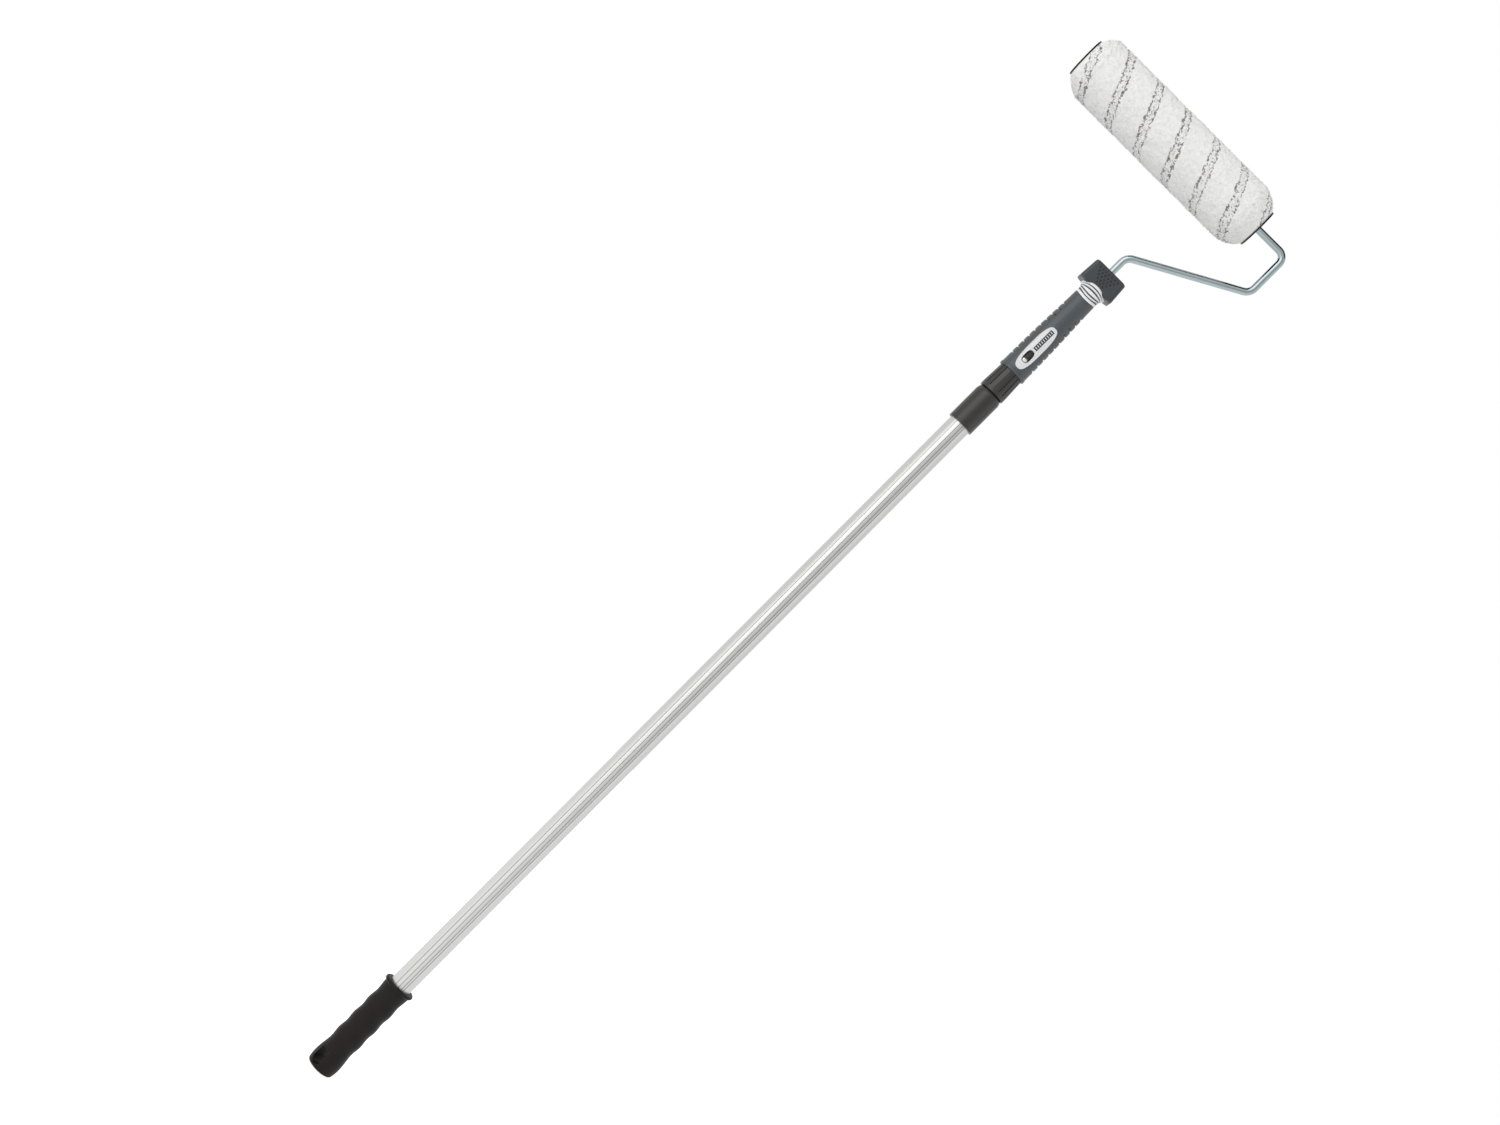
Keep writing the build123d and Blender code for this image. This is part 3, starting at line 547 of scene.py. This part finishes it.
# The dark lines between the white bands are the same skin, sunk a little, and more at front and back.
DARK_SUNK, DARK_DIP, DARK_ROUND = -0.12, 0.88, 0.15
DARK_BANDS = [((1110.4, 1113.2), (1112.0, 1115.5)), ((1113.4, 1116.2), (1115.5, 1117.7)),
              ((1118.3, 1117.9), (1120.5, 1118.8)), ((1121.8, 1119.6), (1123.6, 1120.1))]
shells = [grip_body] + [band_shell(neck_turn, low, high, DARK_SUNK, DARK_ROUND, 5, DARK_DIP)
                        for low, high in DARK_BANDS]
RUBBER_CREASE = np.radians(48)
soft_grip = plastic("soft_grip", (0.046, 0.055, 0.063), (0.059, 0.069, 0.078), 0.40, grain=1500.0, rub=0.3,
                    sheen=0.03, shine=0.62)
mesh = grid_mesh("soft_grip", shells)
mesh.set_sharp_from_angle(angle=RUBBER_CREASE)
grip_object = piece("soft_grip", mesh, soft_grip, "inner_pole", "soft_grip", "handle_grip")

# The head: a block with round corners, arched over the neck underneath and rolled in at its top.
HEAD_LOW, HEAD_TOP, HEAD_FLOOR = 1122.2, 1148.0, 1122.8
HEAD_HALF_LOW, HEAD_HALF_TOP, HEAD_DEEP = 21.7, 19.9, 14.2
HEAD_CORNER, HEAD_EDGE, HEAD_FOOT = 3.6, 3.3, 2.8
UNDER_INSET, UNDER_ROLL, UNDER_LAP = 3.2, 1.8, 0.3
TOP_ROLL, FOOT_ROLL, ARCH_EDGE = 6.0, 6.5, 0.6
ARCH_TOP, ARCH_HALF, ARCH_FOOT = 1126.1, 15.9, 0.4
SIDE_FROM, SIDE_OVER = 13.5, 6.0
WIRE_RADIUS, HOLLOW_RADIUS = 4.0, 9.0


def block_outline(flat, side, curve):
    """A rounded block's outline as unit pieces: for each point, which share of the straight half lengths and
    of the corner's radius it takes; flat, side and curve are the counts of points on each."""
    arc = np.linspace(0, np.pi / 2, curve, endpoint=False) + np.pi / 4 / curve
    run, rise = np.linspace(-1, 1, flat), np.linspace(-1, 1, side)
    one = [np.stack([run, -1 + 0 * run, 0 * run, -1 + 0 * run]),
           np.stack([1 + 0 * arc, -1 + 0 * arc, np.sin(arc), -np.cos(arc)]),
           np.stack([1 + 0 * rise, rise, 1 + 0 * rise, 0 * rise]),
           np.stack([1 + 0 * arc, 1 + 0 * arc, np.cos(arc), np.sin(arc)])]
    half = np.concatenate(one, 1)
    return np.concatenate([half, -half], 1)


share_x, share_y, curve_x, curve_y = block_outline(61, 9, 6)


def head_row(z, inset, roll):
    """One ring of the head at heights z: the rounded block's outline pulled in by inset across and by roll
    from front to back."""
    rise = np.clip((z - HEAD_LOW) / (HEAD_TOP - HEAD_LOW), 0, 1)
    half = HEAD_HALF_LOW + (HEAD_HALF_TOP - HEAD_HALF_LOW) * rise
    x = share_x * (half - inset - HEAD_CORNER) + curve_x * HEAD_CORNER
    y = share_y * (HEAD_DEEP - roll - HEAD_CORNER) + curve_y * HEAD_CORNER
    return np.stack([x, y, z + 0 * x], -1)


foot_x = np.abs(share_x * (HEAD_HALF_LOW - HEAD_CORNER) + curve_x * HEAD_CORNER)
side_share = smooth_step(np.clip((foot_x - SIDE_FROM) / SIDE_OVER, 0, 1))
arch = ARCH_TOP - (ARCH_TOP - HEAD_LOW - ARCH_FOOT) * np.clip(foot_x / ARCH_HALF, 0, 1) ** 2
head_low = np.where(foot_x < ARCH_HALF, arch, HEAD_LOW + ARCH_FOOT) - ARCH_FOOT * side_share
foot_roll = ARCH_EDGE + (FOOT_ROLL - ARCH_EDGE) * side_share
foot_round = ARCH_EDGE + (HEAD_FOOT - ARCH_EDGE) * side_share
side_low, side_high = head_low + foot_round, HEAD_TOP - HEAD_EDGE
bends = np.linspace(0, np.pi / 2, 9)
rows = [head_row(head_low, HEAD_FOOT + UNDER_INSET, foot_roll + UNDER_ROLL),
        head_row(head_low, foot_round + UNDER_LAP, foot_roll + UNDER_LAP)]
rows += [head_row(head_low + foot_round * (1 - np.cos(bend)), foot_round * (1 - np.sin(bend)),
                  foot_roll * (1 - np.sin(bend))) for bend in bends]
rows += [head_row(side_low + (side_high - side_low) * share, 0.0, 0.0) for share in np.linspace(0, 1, 12)[1:]]
rows += [head_row(side_high + HEAD_EDGE * np.sin(bend), HEAD_EDGE * (1 - np.cos(bend)),
                  TOP_ROLL * (1 - np.cos(bend))) for bend in bends[1:]]
ring = np.arctan2(rows[-1][:, 1], rows[-1][:, 0])


def round_wire(radius, height):
    """The ring of the head's points drawn in to a circle round the wire."""
    return np.stack([radius * np.cos(ring), radius * np.sin(ring), height + 0 * ring], -1)


rows.append((rows[-1] + round_wire(WIRE_RADIUS, HEAD_TOP)) / 2)
rows += [round_wire(radius, height) for radius, height in (
    (1.15 * WIRE_RADIUS, HEAD_TOP), (1.03 * WIRE_RADIUS, HEAD_TOP - 0.35), (WIRE_RADIUS, HEAD_TOP - 3.0),
    (WIRE_RADIUS, HEAD_FLOOR), (HOLLOW_RADIUS, HEAD_FLOOR))]
mesh = grid_mesh("grip_head", [np.stack(rows)])
mesh.set_sharp_from_angle(angle=RUBBER_CREASE)
head_rubber = plastic("head_rubber", (0.021, 0.0265, 0.0315), (0.032, 0.039, 0.045), 0.42, grain=1500.0,
                      rub=0.25, sheen=0.02, shine=0.60)
piece("grip_head", mesh, head_rubber, "inner_pole", "soft_grip")

STUD_ROWS, STUDS_ABOVE, STUD_PITCH, STUD_DROP, STUD_TOP, STUD_CENTRE = 5, 7, 4.05, 3.45, 1142.6, -0.3
STUD_RADIUS, STUD_PROUD, STUD_SIDES = 1.15, 0.9, 14


def studs():
    """Small domes in five rows of seven down to three on the head's front and back: rings of points whose
    radius falls as the cosine and whose height grows as the sine."""
    spots = np.array([
        (STUD_CENTRE + STUD_PITCH * (k - (STUDS_ABOVE - 1 - row) / 2), 0, STUD_TOP - STUD_DROP * row)
        for row in range(STUD_ROWS) for k in range(STUDS_ABOVE - row)])
    lift = np.array([-0.35, 0.0, 0.35, 0.7, 1.05, 1.35, 1.5])[:, None]
    around = np.linspace(0, 2 * np.pi, STUD_SIDES, endpoint=False)
    radius = STUD_RADIUS * np.cos(np.maximum(lift, 0))
    proud = STUD_PROUD * np.sin(np.maximum(lift, 0)) + np.minimum(lift, 0)
    dome = np.stack([radius * np.cos(around), -proud - HEAD_DEEP + 0 * around, radius * np.sin(around)], -1)
    front = dome + spots[:, None, None]
    return np.concatenate([front, front * [-1, -1, 1]])


mesh = grid_mesh("head_studs", studs(), round_rows=False, lids=True)
close_back(mesh)
# The studs get a darker copy of the head's rubber: painted shade for their shaded sides.
stud_shaded_rubber = plastic("stud_shaded_rubber", (0.010, 0.012, 0.015), (0.018, 0.021, 0.024), 0.36, grain=1500.0, rub=0.2)
piece("head_studs", mesh, stud_shaded_rubber, "inner_pole", "soft_grip")

# ---------------------------------------------------------------- neck bands
# Five white bands of the core show through the skin round the neck; they are
# part of the core's moulding and stand a little proud of the dark lines.

BAND_PROUD, BAND_ROUND = 0.12, 0.25
WHITE_BANDS = [((1107.8, 1110.4), (1110.6, 1113.4)), ((1111.8, 1115.3), (1113.6, 1116.4)),
               ((1115.3, 1117.5), (1118.5, 1118.1)), ((1120.3, 1118.6), (1122.0, 1119.8)),
               ((1123.4, 1119.9), (1126.2, 1122.2))]
band_plastic = plastic("band_plastic", (0.82, 0.83, 0.845), (0.78, 0.785, 0.79), 0.33, grain=900.0, rub=0.15,
                       bump=0.00002)
mesh = grid_mesh("neck_bands", [band_shell(neck_turn, low, high, BAND_PROUD, BAND_ROUND)
                                for low, high in WHITE_BANDS])
piece("neck_bands", mesh, band_plastic, "inner_pole", "white_plastic", "handle_core")

# ---------------------------------------------------------------- badge
# A white plate lies in the handle's front, with a slot through which the pole's
# button is pressed. Its rim is raised, and a dark strip is let into it.

BADGE_MIDDLE, BADGE_TALL, BADGE_WIDE, BADGE_POWER = 1037.5, 27.8, 7.95, 2.85
BADGE_RIM, BADGE_CREASE = 1.35, np.radians(50)
SLOT_MIDDLE, SLOT_TALL, SLOT_WIDE, SLOT_POWER = 1025.6, 7.5, 4.2, 3.0


def oval(around, middle, tall, wide, power):
    """x and z on a superellipse of half height tall and half width wide round the given height."""
    across, up = np.cos(around), np.sin(around)
    return (wide * np.sign(across) * np.abs(across) ** (2 / power),
            middle + tall * np.sign(up) * np.abs(up) ** (2 / power))


def handle_front(x, z):
    """How far in front of the axis the handle's plain surface lies at each x and z."""
    wide, deep = handle_width(z)
    return deep * np.clip(1 - np.abs(x / wide) ** SECTION_POWER, 0, 1) ** (1 / SECTION_POWER)


def on_front(x, z, lift):
    """Points lifted so far off the handle's plain front."""
    return np.stack([x, -(handle_front(x, z) + lift), z], -1)


def badge_oval(inset, inset_wide=None):
    """The badge's outline pulled in by an inset, or by one up and down and another across."""
    return oval(around, BADGE_MIDDLE, BADGE_TALL - inset, BADGE_WIDE - (inset_wide or inset), BADGE_POWER)


around = np.linspace(0, 2 * np.pi, 180, endpoint=False)
slot_x, slot_z = oval(around, SLOT_MIDDLE, SLOT_TALL, SLOT_WIDE, SLOT_POWER)
rim_x, rim_z = badge_oval(BADGE_RIM)
plate = [on_front(slot_x + (rim_x - slot_x) * share, slot_z + (rim_z - slot_z) * share, lift)
         for share, lift in ((0.0, -4.6), (0.0, -0.5), (0.015, -0.12), (0.05, 0.12), (0.12, 0.2), (0.3, 0.2),
                             (0.6, 0.2), (1.0, 0.2))]
plate += [on_front(*badge_oval(inset), lift)
          for inset, lift in ((1.25, 0.22), (1.1, 0.42), (0.9, 0.56), (0.65, 0.60), (0.4, 0.52), (0.18, 0.34),
                              (0.04, 0.05), (0.0, -0.25), (0.0, -2.2), (0.9, -3.4))]
white_plastic = plastic("white_plastic", (0.725, 0.735, 0.75), (0.71, 0.715, 0.72), 0.33, grain=900.0, rub=0.15,
                        bump=0.00002)
mesh = grid_mesh("badge", [np.stack(plate)[::-1]])
mesh.set_sharp_from_angle(angle=BADGE_CREASE)
piece("badge", mesh, white_plastic, "inner_pole", "white_plastic", "release_bezel")


def low_pad(across, up, rise):
    """Points of a low pad on the handle's front, each lifted by the lower of its column's and its row's
    rise."""
    return on_front(across + 0 * up[:, None], up[:, None] + 0 * across, np.minimum(rise, rise[:, None]))


STRIP_LOW, STRIP_TALL, STRIP_HALF = 1035.3, 26.2, 2.45
strip = low_pad(STRIP_HALF * np.array([-1, -1, -0.93, -0.8, 0, 0.8, 0.93, 1, 1]),
                STRIP_LOW + STRIP_TALL * np.array([0, 0, 0.006, 0.02, 0.5, 0.98, 0.994, 1, 1]),
                np.array([-0.6, 0.26, 0.34, 0.36, 0.36, 0.36, 0.34, 0.26, -0.6]))
BARS, BAR_TALL, BAR_HALF, BAR_RISE = 9, 0.85, 1.45, np.array([0.2, 0.38, 0.5, 0.52, 0.5, 0.38, 0.2])
bars = [low_pad(BAR_HALF * np.array([-1, -1, -0.9, 0, 0.9, 1, 1]),
                middle + BAR_TALL * np.array([-0.5, -0.5, -0.38, 0, 0.38, 0.5, 0.5]), BAR_RISE)
        for middle in STRIP_LOW + (np.arange(BARS) + 0.75) / (BARS + 0.5) * STRIP_TALL]
strip_plastic = plastic("strip_plastic", (0.035, 0.036, 0.040), (0.055, 0.056, 0.060), 0.4, grain=2400.0)
for name, pads, made_of, finish_slot in (("badge_strip", [strip], strip_plastic, "soft_grip"),
                                         ("badge_bars", bars, white_plastic, "white_plastic")):
    mesh = grid_mesh(name, pads, round_rows=False, round_columns=False)
    close_back(mesh)
    piece(name, mesh, made_of, "inner_pole", finish_slot)

# The skin is cut away behind the badge, where the plug and its button show.
HOLE_FRONT, HOLE_BACK = -18.0, -9.0
hole_x, hole_z = badge_oval(1.0, 0.9)
mesh = grid_mesh("badge_hole", [np.stack([np.stack([hole_x, depth + 0 * hole_x, hole_z], -1)
                                          for depth in (HOLE_FRONT, HOLE_BACK)])], round_rows=False)
close_back(mesh)
mesh.polygons.foreach_set("use_smooth", np.zeros(len(mesh.polygons), bool))
cutter = bpy.data.objects.new("badge_hole", mesh)
scene.collection.objects.link(cutter)
opened = grip_object.modifiers.new("badge_hole", "BOOLEAN")
opened.object, opened.operation, opened.solver = cutter, "DIFFERENCE", "EXACT"
bpy.context.view_layer.update()
finished = bpy.data.meshes.new_from_object(grip_object.evaluated_get(bpy.context.evaluated_depsgraph_get()))
grip_object.modifiers.clear()
close_back(finished)
grip_object.data = finished
bpy.data.objects.remove(cutter)

# ---------------------------------------------------------------- frame wire
# The frame is one zinc-plated steel wire, bent cold in three places, whose tail
# is moulded into the handle's head and whose far end is the roller's axle.

WIRE_CORNERS = np.array([(0.0, 1100.0), (0.0, 1170.8), (115.3, 1234.1), (115.3, 1286.4), (-170.9, 1286.4)])
WIRE_BENDS = (12.0, 12.0, 10.0)
WIRE_STEP, WIRE_SIDES, UV_LENGTH = 3.0, 40, 25.0


def bent_path(corners, radii, step):
    """Points and directions along straight runs joined by arcs: each arc starts its radius times the tangent
    of half the turn before its corner, and turns evenly round a centre square to the run."""
    points, headings, last = [], [], corners[0]
    for before, corner, after, radius in zip(corners[:-2], corners[1:-1], corners[2:], radii):
        a, b = corner - before, after - corner
        a, b = a / np.linalg.norm(a), b / np.linalg.norm(b)
        turn = np.arctan2(a[0] * b[1] - a[1] * b[0], a @ b)
        reach = radius * np.tan(abs(turn) / 2)
        start = corner - a * reach
        count = max(2, int(np.linalg.norm(start - last) / step))
        points.append(last + (start - last) * np.linspace(0, 1, count, endpoint=False)[:, None])
        headings.append(np.repeat(a[None], count, 0))
        left = np.array([-a[1], a[0]]) * np.sign(turn)
        angle = np.linspace(0, abs(turn), max(4, int(radius * abs(turn) / (step / 4))), endpoint=False)[:, None]
        points.append(start + left * radius + radius * (np.sin(angle) * a - np.cos(angle) * left))
        headings.append(np.cos(angle) * a + np.sin(angle) * left)
        last = corner + b * reach
    count = int(np.linalg.norm(corners[-1] - last) / step)
    points.append(last + (corners[-1] - last) * np.linspace(0, 1, count)[:, None])
    headings.append(np.repeat(b[None], count, 0))
    return np.concatenate(points), np.concatenate(headings)


path, heading = bent_path(WIRE_CORNERS, WIRE_BENDS, WIRE_STEP)
angle = np.linspace(0, -2 * np.pi, WIRE_SIDES, endpoint=False)
ring = [WIRE_RADIUS * np.cos(angle), WIRE_RADIUS * np.sin(angle)]
points = np.stack([path[:, :1] - ring[0] * heading[:, 1:], ring[1] + 0 * path[:, :1],
                   path[:, 1:] + ring[0] * heading[:, :1]], -1)
tail, tip = (np.tile([path[end, 0], 0.0, path[end, 1]], (1, WIRE_SIDES, 1)) for end in (0, -1))
points = np.concatenate([tail, points, tip], 0)
gone = np.concatenate([[0], np.cumsum(np.linalg.norm(np.diff(path, axis=0), axis=1))])
gone = np.concatenate([gone[:1], gone, gone[-1:]])[:, None]
share = np.linspace(0, 1, WIRE_SIDES + 1)
uv = np.stack([gone / UV_LENGTH + 0 * share, share + 0 * gone], -1)
mesh = grid_mesh("frame_wire_bent", [points], round_rows=False, uv=uv)
close_back(mesh)
wire_steel = bare_metal("plated_steel", (0.38, 0.435, 0.445), (0.235, 0.28, 0.29), 0.10, (1.2, 6.0, 1.0),
                        scuffs=0.35, source="UV")
piece("frame_wire_bent", mesh, wire_steel, "inner_pole", "plated_steel", "frame_wire")
dress(plated, "axle_clip", "stop_ring")

# ---------------------------------------------------------------- roller
# The sleeve is woven pile wound round a plastic core tube; two pairs of thin grey
# yarns wind round it. It turns on two nylon hubs, closed by two pressed-in caps.

dress(plastic("core_plastic", (0.34, 0.34, 0.33), (0.26, 0.26, 0.25), 0.5), "roller_core")
dress(nylon, "hub_bush_outer", "hub_bush_inner")
dress(plastic("cap_plastic", (0.006, 0.006, 0.008), (0.014, 0.014, 0.016), 0.38, rub=0.25, shine=0.25),
      "end_cap_outer", "end_cap_inner")

PILE_ENDS, PILE_RADIUS, CORE_RADIUS, HEM_RADIUS, ROLLER_AXIS = (-172.7, 72.4), 35.1, 22.2, 21.8, 1286.4
OUTER_ROUND, OUTER_SHARE, OUTER_POWER, ROUND_SKEW = 17.0, 0.14, 1.22, 3.5
INNER_ROUND, INNER_SHARE, INNER_POWER = 22.0, 0.12, 1.42
TUFTS = ((0.55, 9.0, 3), (0.45, 4.2, 5), (0.6, 2.3, 7), (0.5, 1.3, 9))
YARN_PITCH, YARN_STARTS, YARN_SWAY, YARN_START = 40.4, 2, 1.0, -6.2
YARN_APART, YARN_WIDTH, YARN_SUNK, YARN_BETWEEN, YARN_EDGE = 4.0, 1.35, 0.35, 0.34, 1.25
YARN_WAVER, YARN_CELL, YARN_SEED = ((2.8, 3.4, 11), (2.6, 1.6, 13)), 4.5, 17
YARN_FAINTEST, YARN_CHANGE = 0.55, 0.50
NOISE_FROM, NOISE_SPAN, TUFT_FADE = -180.0, 300, 0.05
PILE_ROWS, PILE_COLUMNS = 400, 232


def woolly(along, turn, cell, seed):
    """Smooth noise from 0 to 1: seeded random numbers on a lattice of square cells, blended across each
    cell by smooth steps, and joined without a seam where the angle comes round."""
    count = max(3, int(round(2 * np.pi * PILE_RADIUS / cell)))
    lattice = np.random.default_rng(seed).random((int(NOISE_SPAN / cell) + 3, count))
    u = (along - NOISE_FROM) / cell
    v = (turn / (2 * np.pi) % 1.0) * count
    i, j = np.floor(u).astype(int), np.floor(v).astype(int)
    s, t = smooth_step(u - i), smooth_step(v - j)
    j, k = j % count, (j + 1) % count
    low = lattice[i, j] * (1 - t) + lattice[i, k] * t
    high = lattice[i + 1, j] * (1 - t) + lattice[i + 1, k] * t
    return low * (1 - s) + high * s


def pile_profile(share, turn):
    """Place along the axis and radius of the clipped pile, for shares from 0 to 1 of its outline: a rounded
    quarter up from the core, a straight run, and a rounded quarter down again. The outer quarter is a little
    longer on one side of the sleeve than on the other."""
    outer = OUTER_ROUND + ROUND_SKEW * np.sin(turn)
    first = np.clip(share / OUTER_SHARE, 0, 1) * np.pi / 2
    last = np.clip((1 - share) / INNER_SHARE, 0, 1) * np.pi / 2
    start = PILE_ENDS[0] + outer * (1 - np.cos(first) ** (2 / OUTER_POWER))
    stop = PILE_ENDS[1] - INNER_ROUND * (1 - np.cos(last) ** (2 / INNER_POWER))
    middle = np.clip((share - OUTER_SHARE) / (1 - OUTER_SHARE - INNER_SHARE), 0, 1)
    straight = PILE_ENDS[0] + outer + middle * (np.ptp(PILE_ENDS) - outer - INNER_ROUND)
    along = np.where(share < OUTER_SHARE, start, np.where(share > 1 - INNER_SHARE, stop, straight))
    rise = np.minimum(np.sin(first) ** (2 / OUTER_POWER), np.sin(last) ** (2 / INNER_POWER))
    return along, CORE_RADIUS + (PILE_RADIUS - CORE_RADIUS) * rise


def yarn_shade(along, turn):
    """How much grey yarn shows, from 0 to 1: near the two lines of each pair, whose pairs start half a lead
    apart and wind round the sleeve, wavering and broken by noise, with a faint band between the two lines."""
    swing = (turn + np.pi) % (2 * np.pi) - np.pi
    centre = YARN_START + YARN_STARTS * YARN_PITCH * swing / (2 * np.pi) + YARN_SWAY * np.sin(swing)
    off = (along - centre + YARN_PITCH / 2) % YARN_PITCH - YARN_PITCH / 2
    for wide, cell, seed in YARN_WAVER:
        off = off + wide * (woolly(along, turn, cell, seed) - 0.5)
    line = np.clip(YARN_EDGE - np.abs(np.abs(off) - YARN_APART) / YARN_WIDTH, 0, 1)
    broken = YARN_FAINTEST + YARN_CHANGE * woolly(along, turn, YARN_CELL, YARN_SEED)
    between = np.clip(YARN_EDGE - np.abs(off) / YARN_APART, 0, 1) * YARN_BETWEEN
    return np.clip(np.maximum(line * broken, between), 0, 1)


def pile_surface(share, turn):
    """Points on the pile in millimetres, and the two parts of its outward direction, along and away from the
    axis: the profile turned about the roller's axis, with tufts raised by noise of four sizes."""
    along, radius = pile_profile(share, turn)
    step = 1e-4
    a, b = pile_profile(np.clip(share - step, 0, 1), turn), pile_profile(np.clip(share + step, 0, 1), turn)
    slope_x, slope_r = b[0] - a[0], b[1] - a[1]
    length = np.hypot(slope_x, slope_r) + 1e-9
    out_x, out_r = -slope_r / length, slope_x / length
    tuft = sum(tall * (woolly(along, turn, cell, seed) - 0.5) for tall, cell, seed in TUFTS)
    tuft -= YARN_SUNK * yarn_shade(along, turn)
    tuft *= np.clip(np.minimum(share, 1 - share) / TUFT_FADE, 0, 1)
    radius = radius + out_r * tuft
    points = np.stack([along + out_x * tuft, -radius * np.cos(turn), ROLLER_AXIS - radius * np.sin(turn)], -1)
    return points, out_x, out_r


def carry_dye(mesh, dye):
    """Keeps each point's share of grey yarn with the mesh, for the pile's colour."""
    mesh.attributes.new("yarn", "FLOAT", "POINT").data.foreach_set("value", dye.astype(np.float32).ravel())


pile, tree, out = empty_material("pile")
place = put(tree, "ShaderNodeTexCoord").outputs["Object"]
shade = put(tree, "ShaderNodeAttribute", {"attribute_name": "yarn"}).outputs["Fac"]
clumps = noise(tree, place, 420.0, 5.0, 0.65)
hairs = noise(tree, place, 1500.0, 3.0)
specks = noise(tree, place, 560.0, 3.0, 0.6)
white = mixed(tree, clumps, (0.925, 0.925, 0.915, 1), (0.86, 0.86, 0.845, 1))
dyed = mixed(tree, hairs, (0.14, 0.13, 0.112, 1), (0.32, 0.30, 0.268, 1))
shown = ranged(tree, reckon(tree, "MULTIPLY_ADD", specks, 2.6, shade), 1.60, 2.1, 0.0, 1.0, smooth=True)
shown = reckon(tree, "MULTIPLY", shown, reckon(tree, "MULTIPLY", shade, 3.0, clamp=True), clamp=True)
relief = put(tree, "ShaderNodeBump", None,
             {"Height": reckon(tree, "ADD", clumps, hairs), "Strength": 0.5, "Distance": 0.0005})
shader = put(tree, "ShaderNodeBsdfPrincipled", None,
             {"Base Color": mixed(tree, shown, white, dyed), "Roughness": 0.92, "Normal": relief.outputs[0],
              "Sheen Weight": 0.15, "Sheen Roughness": 0.6, "Specular IOR Level": 0.2})
tree.links.new(shader.outputs[0], out.inputs["Surface"])

turn = np.linspace(0, 2 * np.pi, PILE_COLUMNS, endpoint=False) + np.zeros((PILE_ROWS, 1))
share = np.linspace(0, 1, PILE_ROWS)[:, None] + 0 * turn
points, _, _ = pile_surface(share, turn)
hems = [np.stack([end + 0 * turn[:1], -HEM_RADIUS * np.cos(turn[:1]),
                  ROLLER_AXIS - HEM_RADIUS * np.sin(turn[:1])], -1) for end in PILE_ENDS]
mesh = grid_mesh("pile", [np.concatenate([hems[0], points, hems[1]], 0)])
dye = yarn_shade(pile_profile(share, turn)[0], turn)
carry_dye(mesh, np.concatenate([dye[:1], dye, dye[-1:]], 0))
piece("pile", mesh, pile, "roller", "pile", "pile_sleeve")

FIBRES, FIBRE_SEED, FIBRE_LEAN, ROOT_DEEP = 30000, 29, 0.55, 0.5
FIBRE_THICK, FIBRE_LONG, SHORT_OVER, SHORTEST = (0.16, 0.34), (1.2, 2.3), 0.07, 0.25


def fibre_points(count, seed):
    """Corners of fine three-sided spikes, [count, 4, 3] in millimetres, the dye of each and its normal: roots
    spread over the pile at random, tips leaning at random from its normal, and shorter near the caps."""
    random = np.random.default_rng(seed)
    share = random.random(count)
    turn = random.random(count) * 2 * np.pi
    root, out_x, out_r = pile_surface(share, turn)
    normal = np.stack([out_x, -out_r * np.cos(turn), -out_r * np.sin(turn)], -1)
    lean = normal + random.normal(0, FIBRE_LEAN, (count, 3))
    lean /= np.linalg.norm(lean, axis=1, keepdims=True)
    across = np.cross(lean, random.normal(0, 1, (count, 3)))
    across /= np.linalg.norm(across, axis=1, keepdims=True)
    other = np.cross(lean, across)
    base = root - normal * ROOT_DEEP
    wide = random.uniform(*FIBRE_THICK, (count, 1, 1))
    near_core = np.clip(np.minimum(share, 1 - share) / SHORT_OVER, SHORTEST, 1)[:, None]
    tip = base + lean * random.uniform(*FIBRE_LONG, (count, 1)) * near_core
    spin = (np.array([0, 2, 4]) * np.pi / 3)[:, None]
    feet = base[:, None] + wide * (np.cos(spin) * across[:, None] + np.sin(spin) * other[:, None])
    return np.concatenate([feet, tip[:, None]], 1), yarn_shade(pile_profile(share, turn)[0], turn), normal


spikes, dye, outward = fibre_points(FIBRES, FIBRE_SEED)
corners = np.arange(FIBRES)[:, None, None] * 4 + np.array([[0, 1, 3], [1, 2, 3], [2, 0, 3], [2, 1, 0]])
mesh = smooth_mesh("pile_fibres", spikes, corners.reshape(-1, 3).tolist())
carry_dye(mesh, np.repeat(dye, 4))
mesh.normals_split_custom_set_from_vertices(np.repeat(outward, 4, 0).tolist())
piece("pile_fibres", mesh, pile, "roller", "pile")
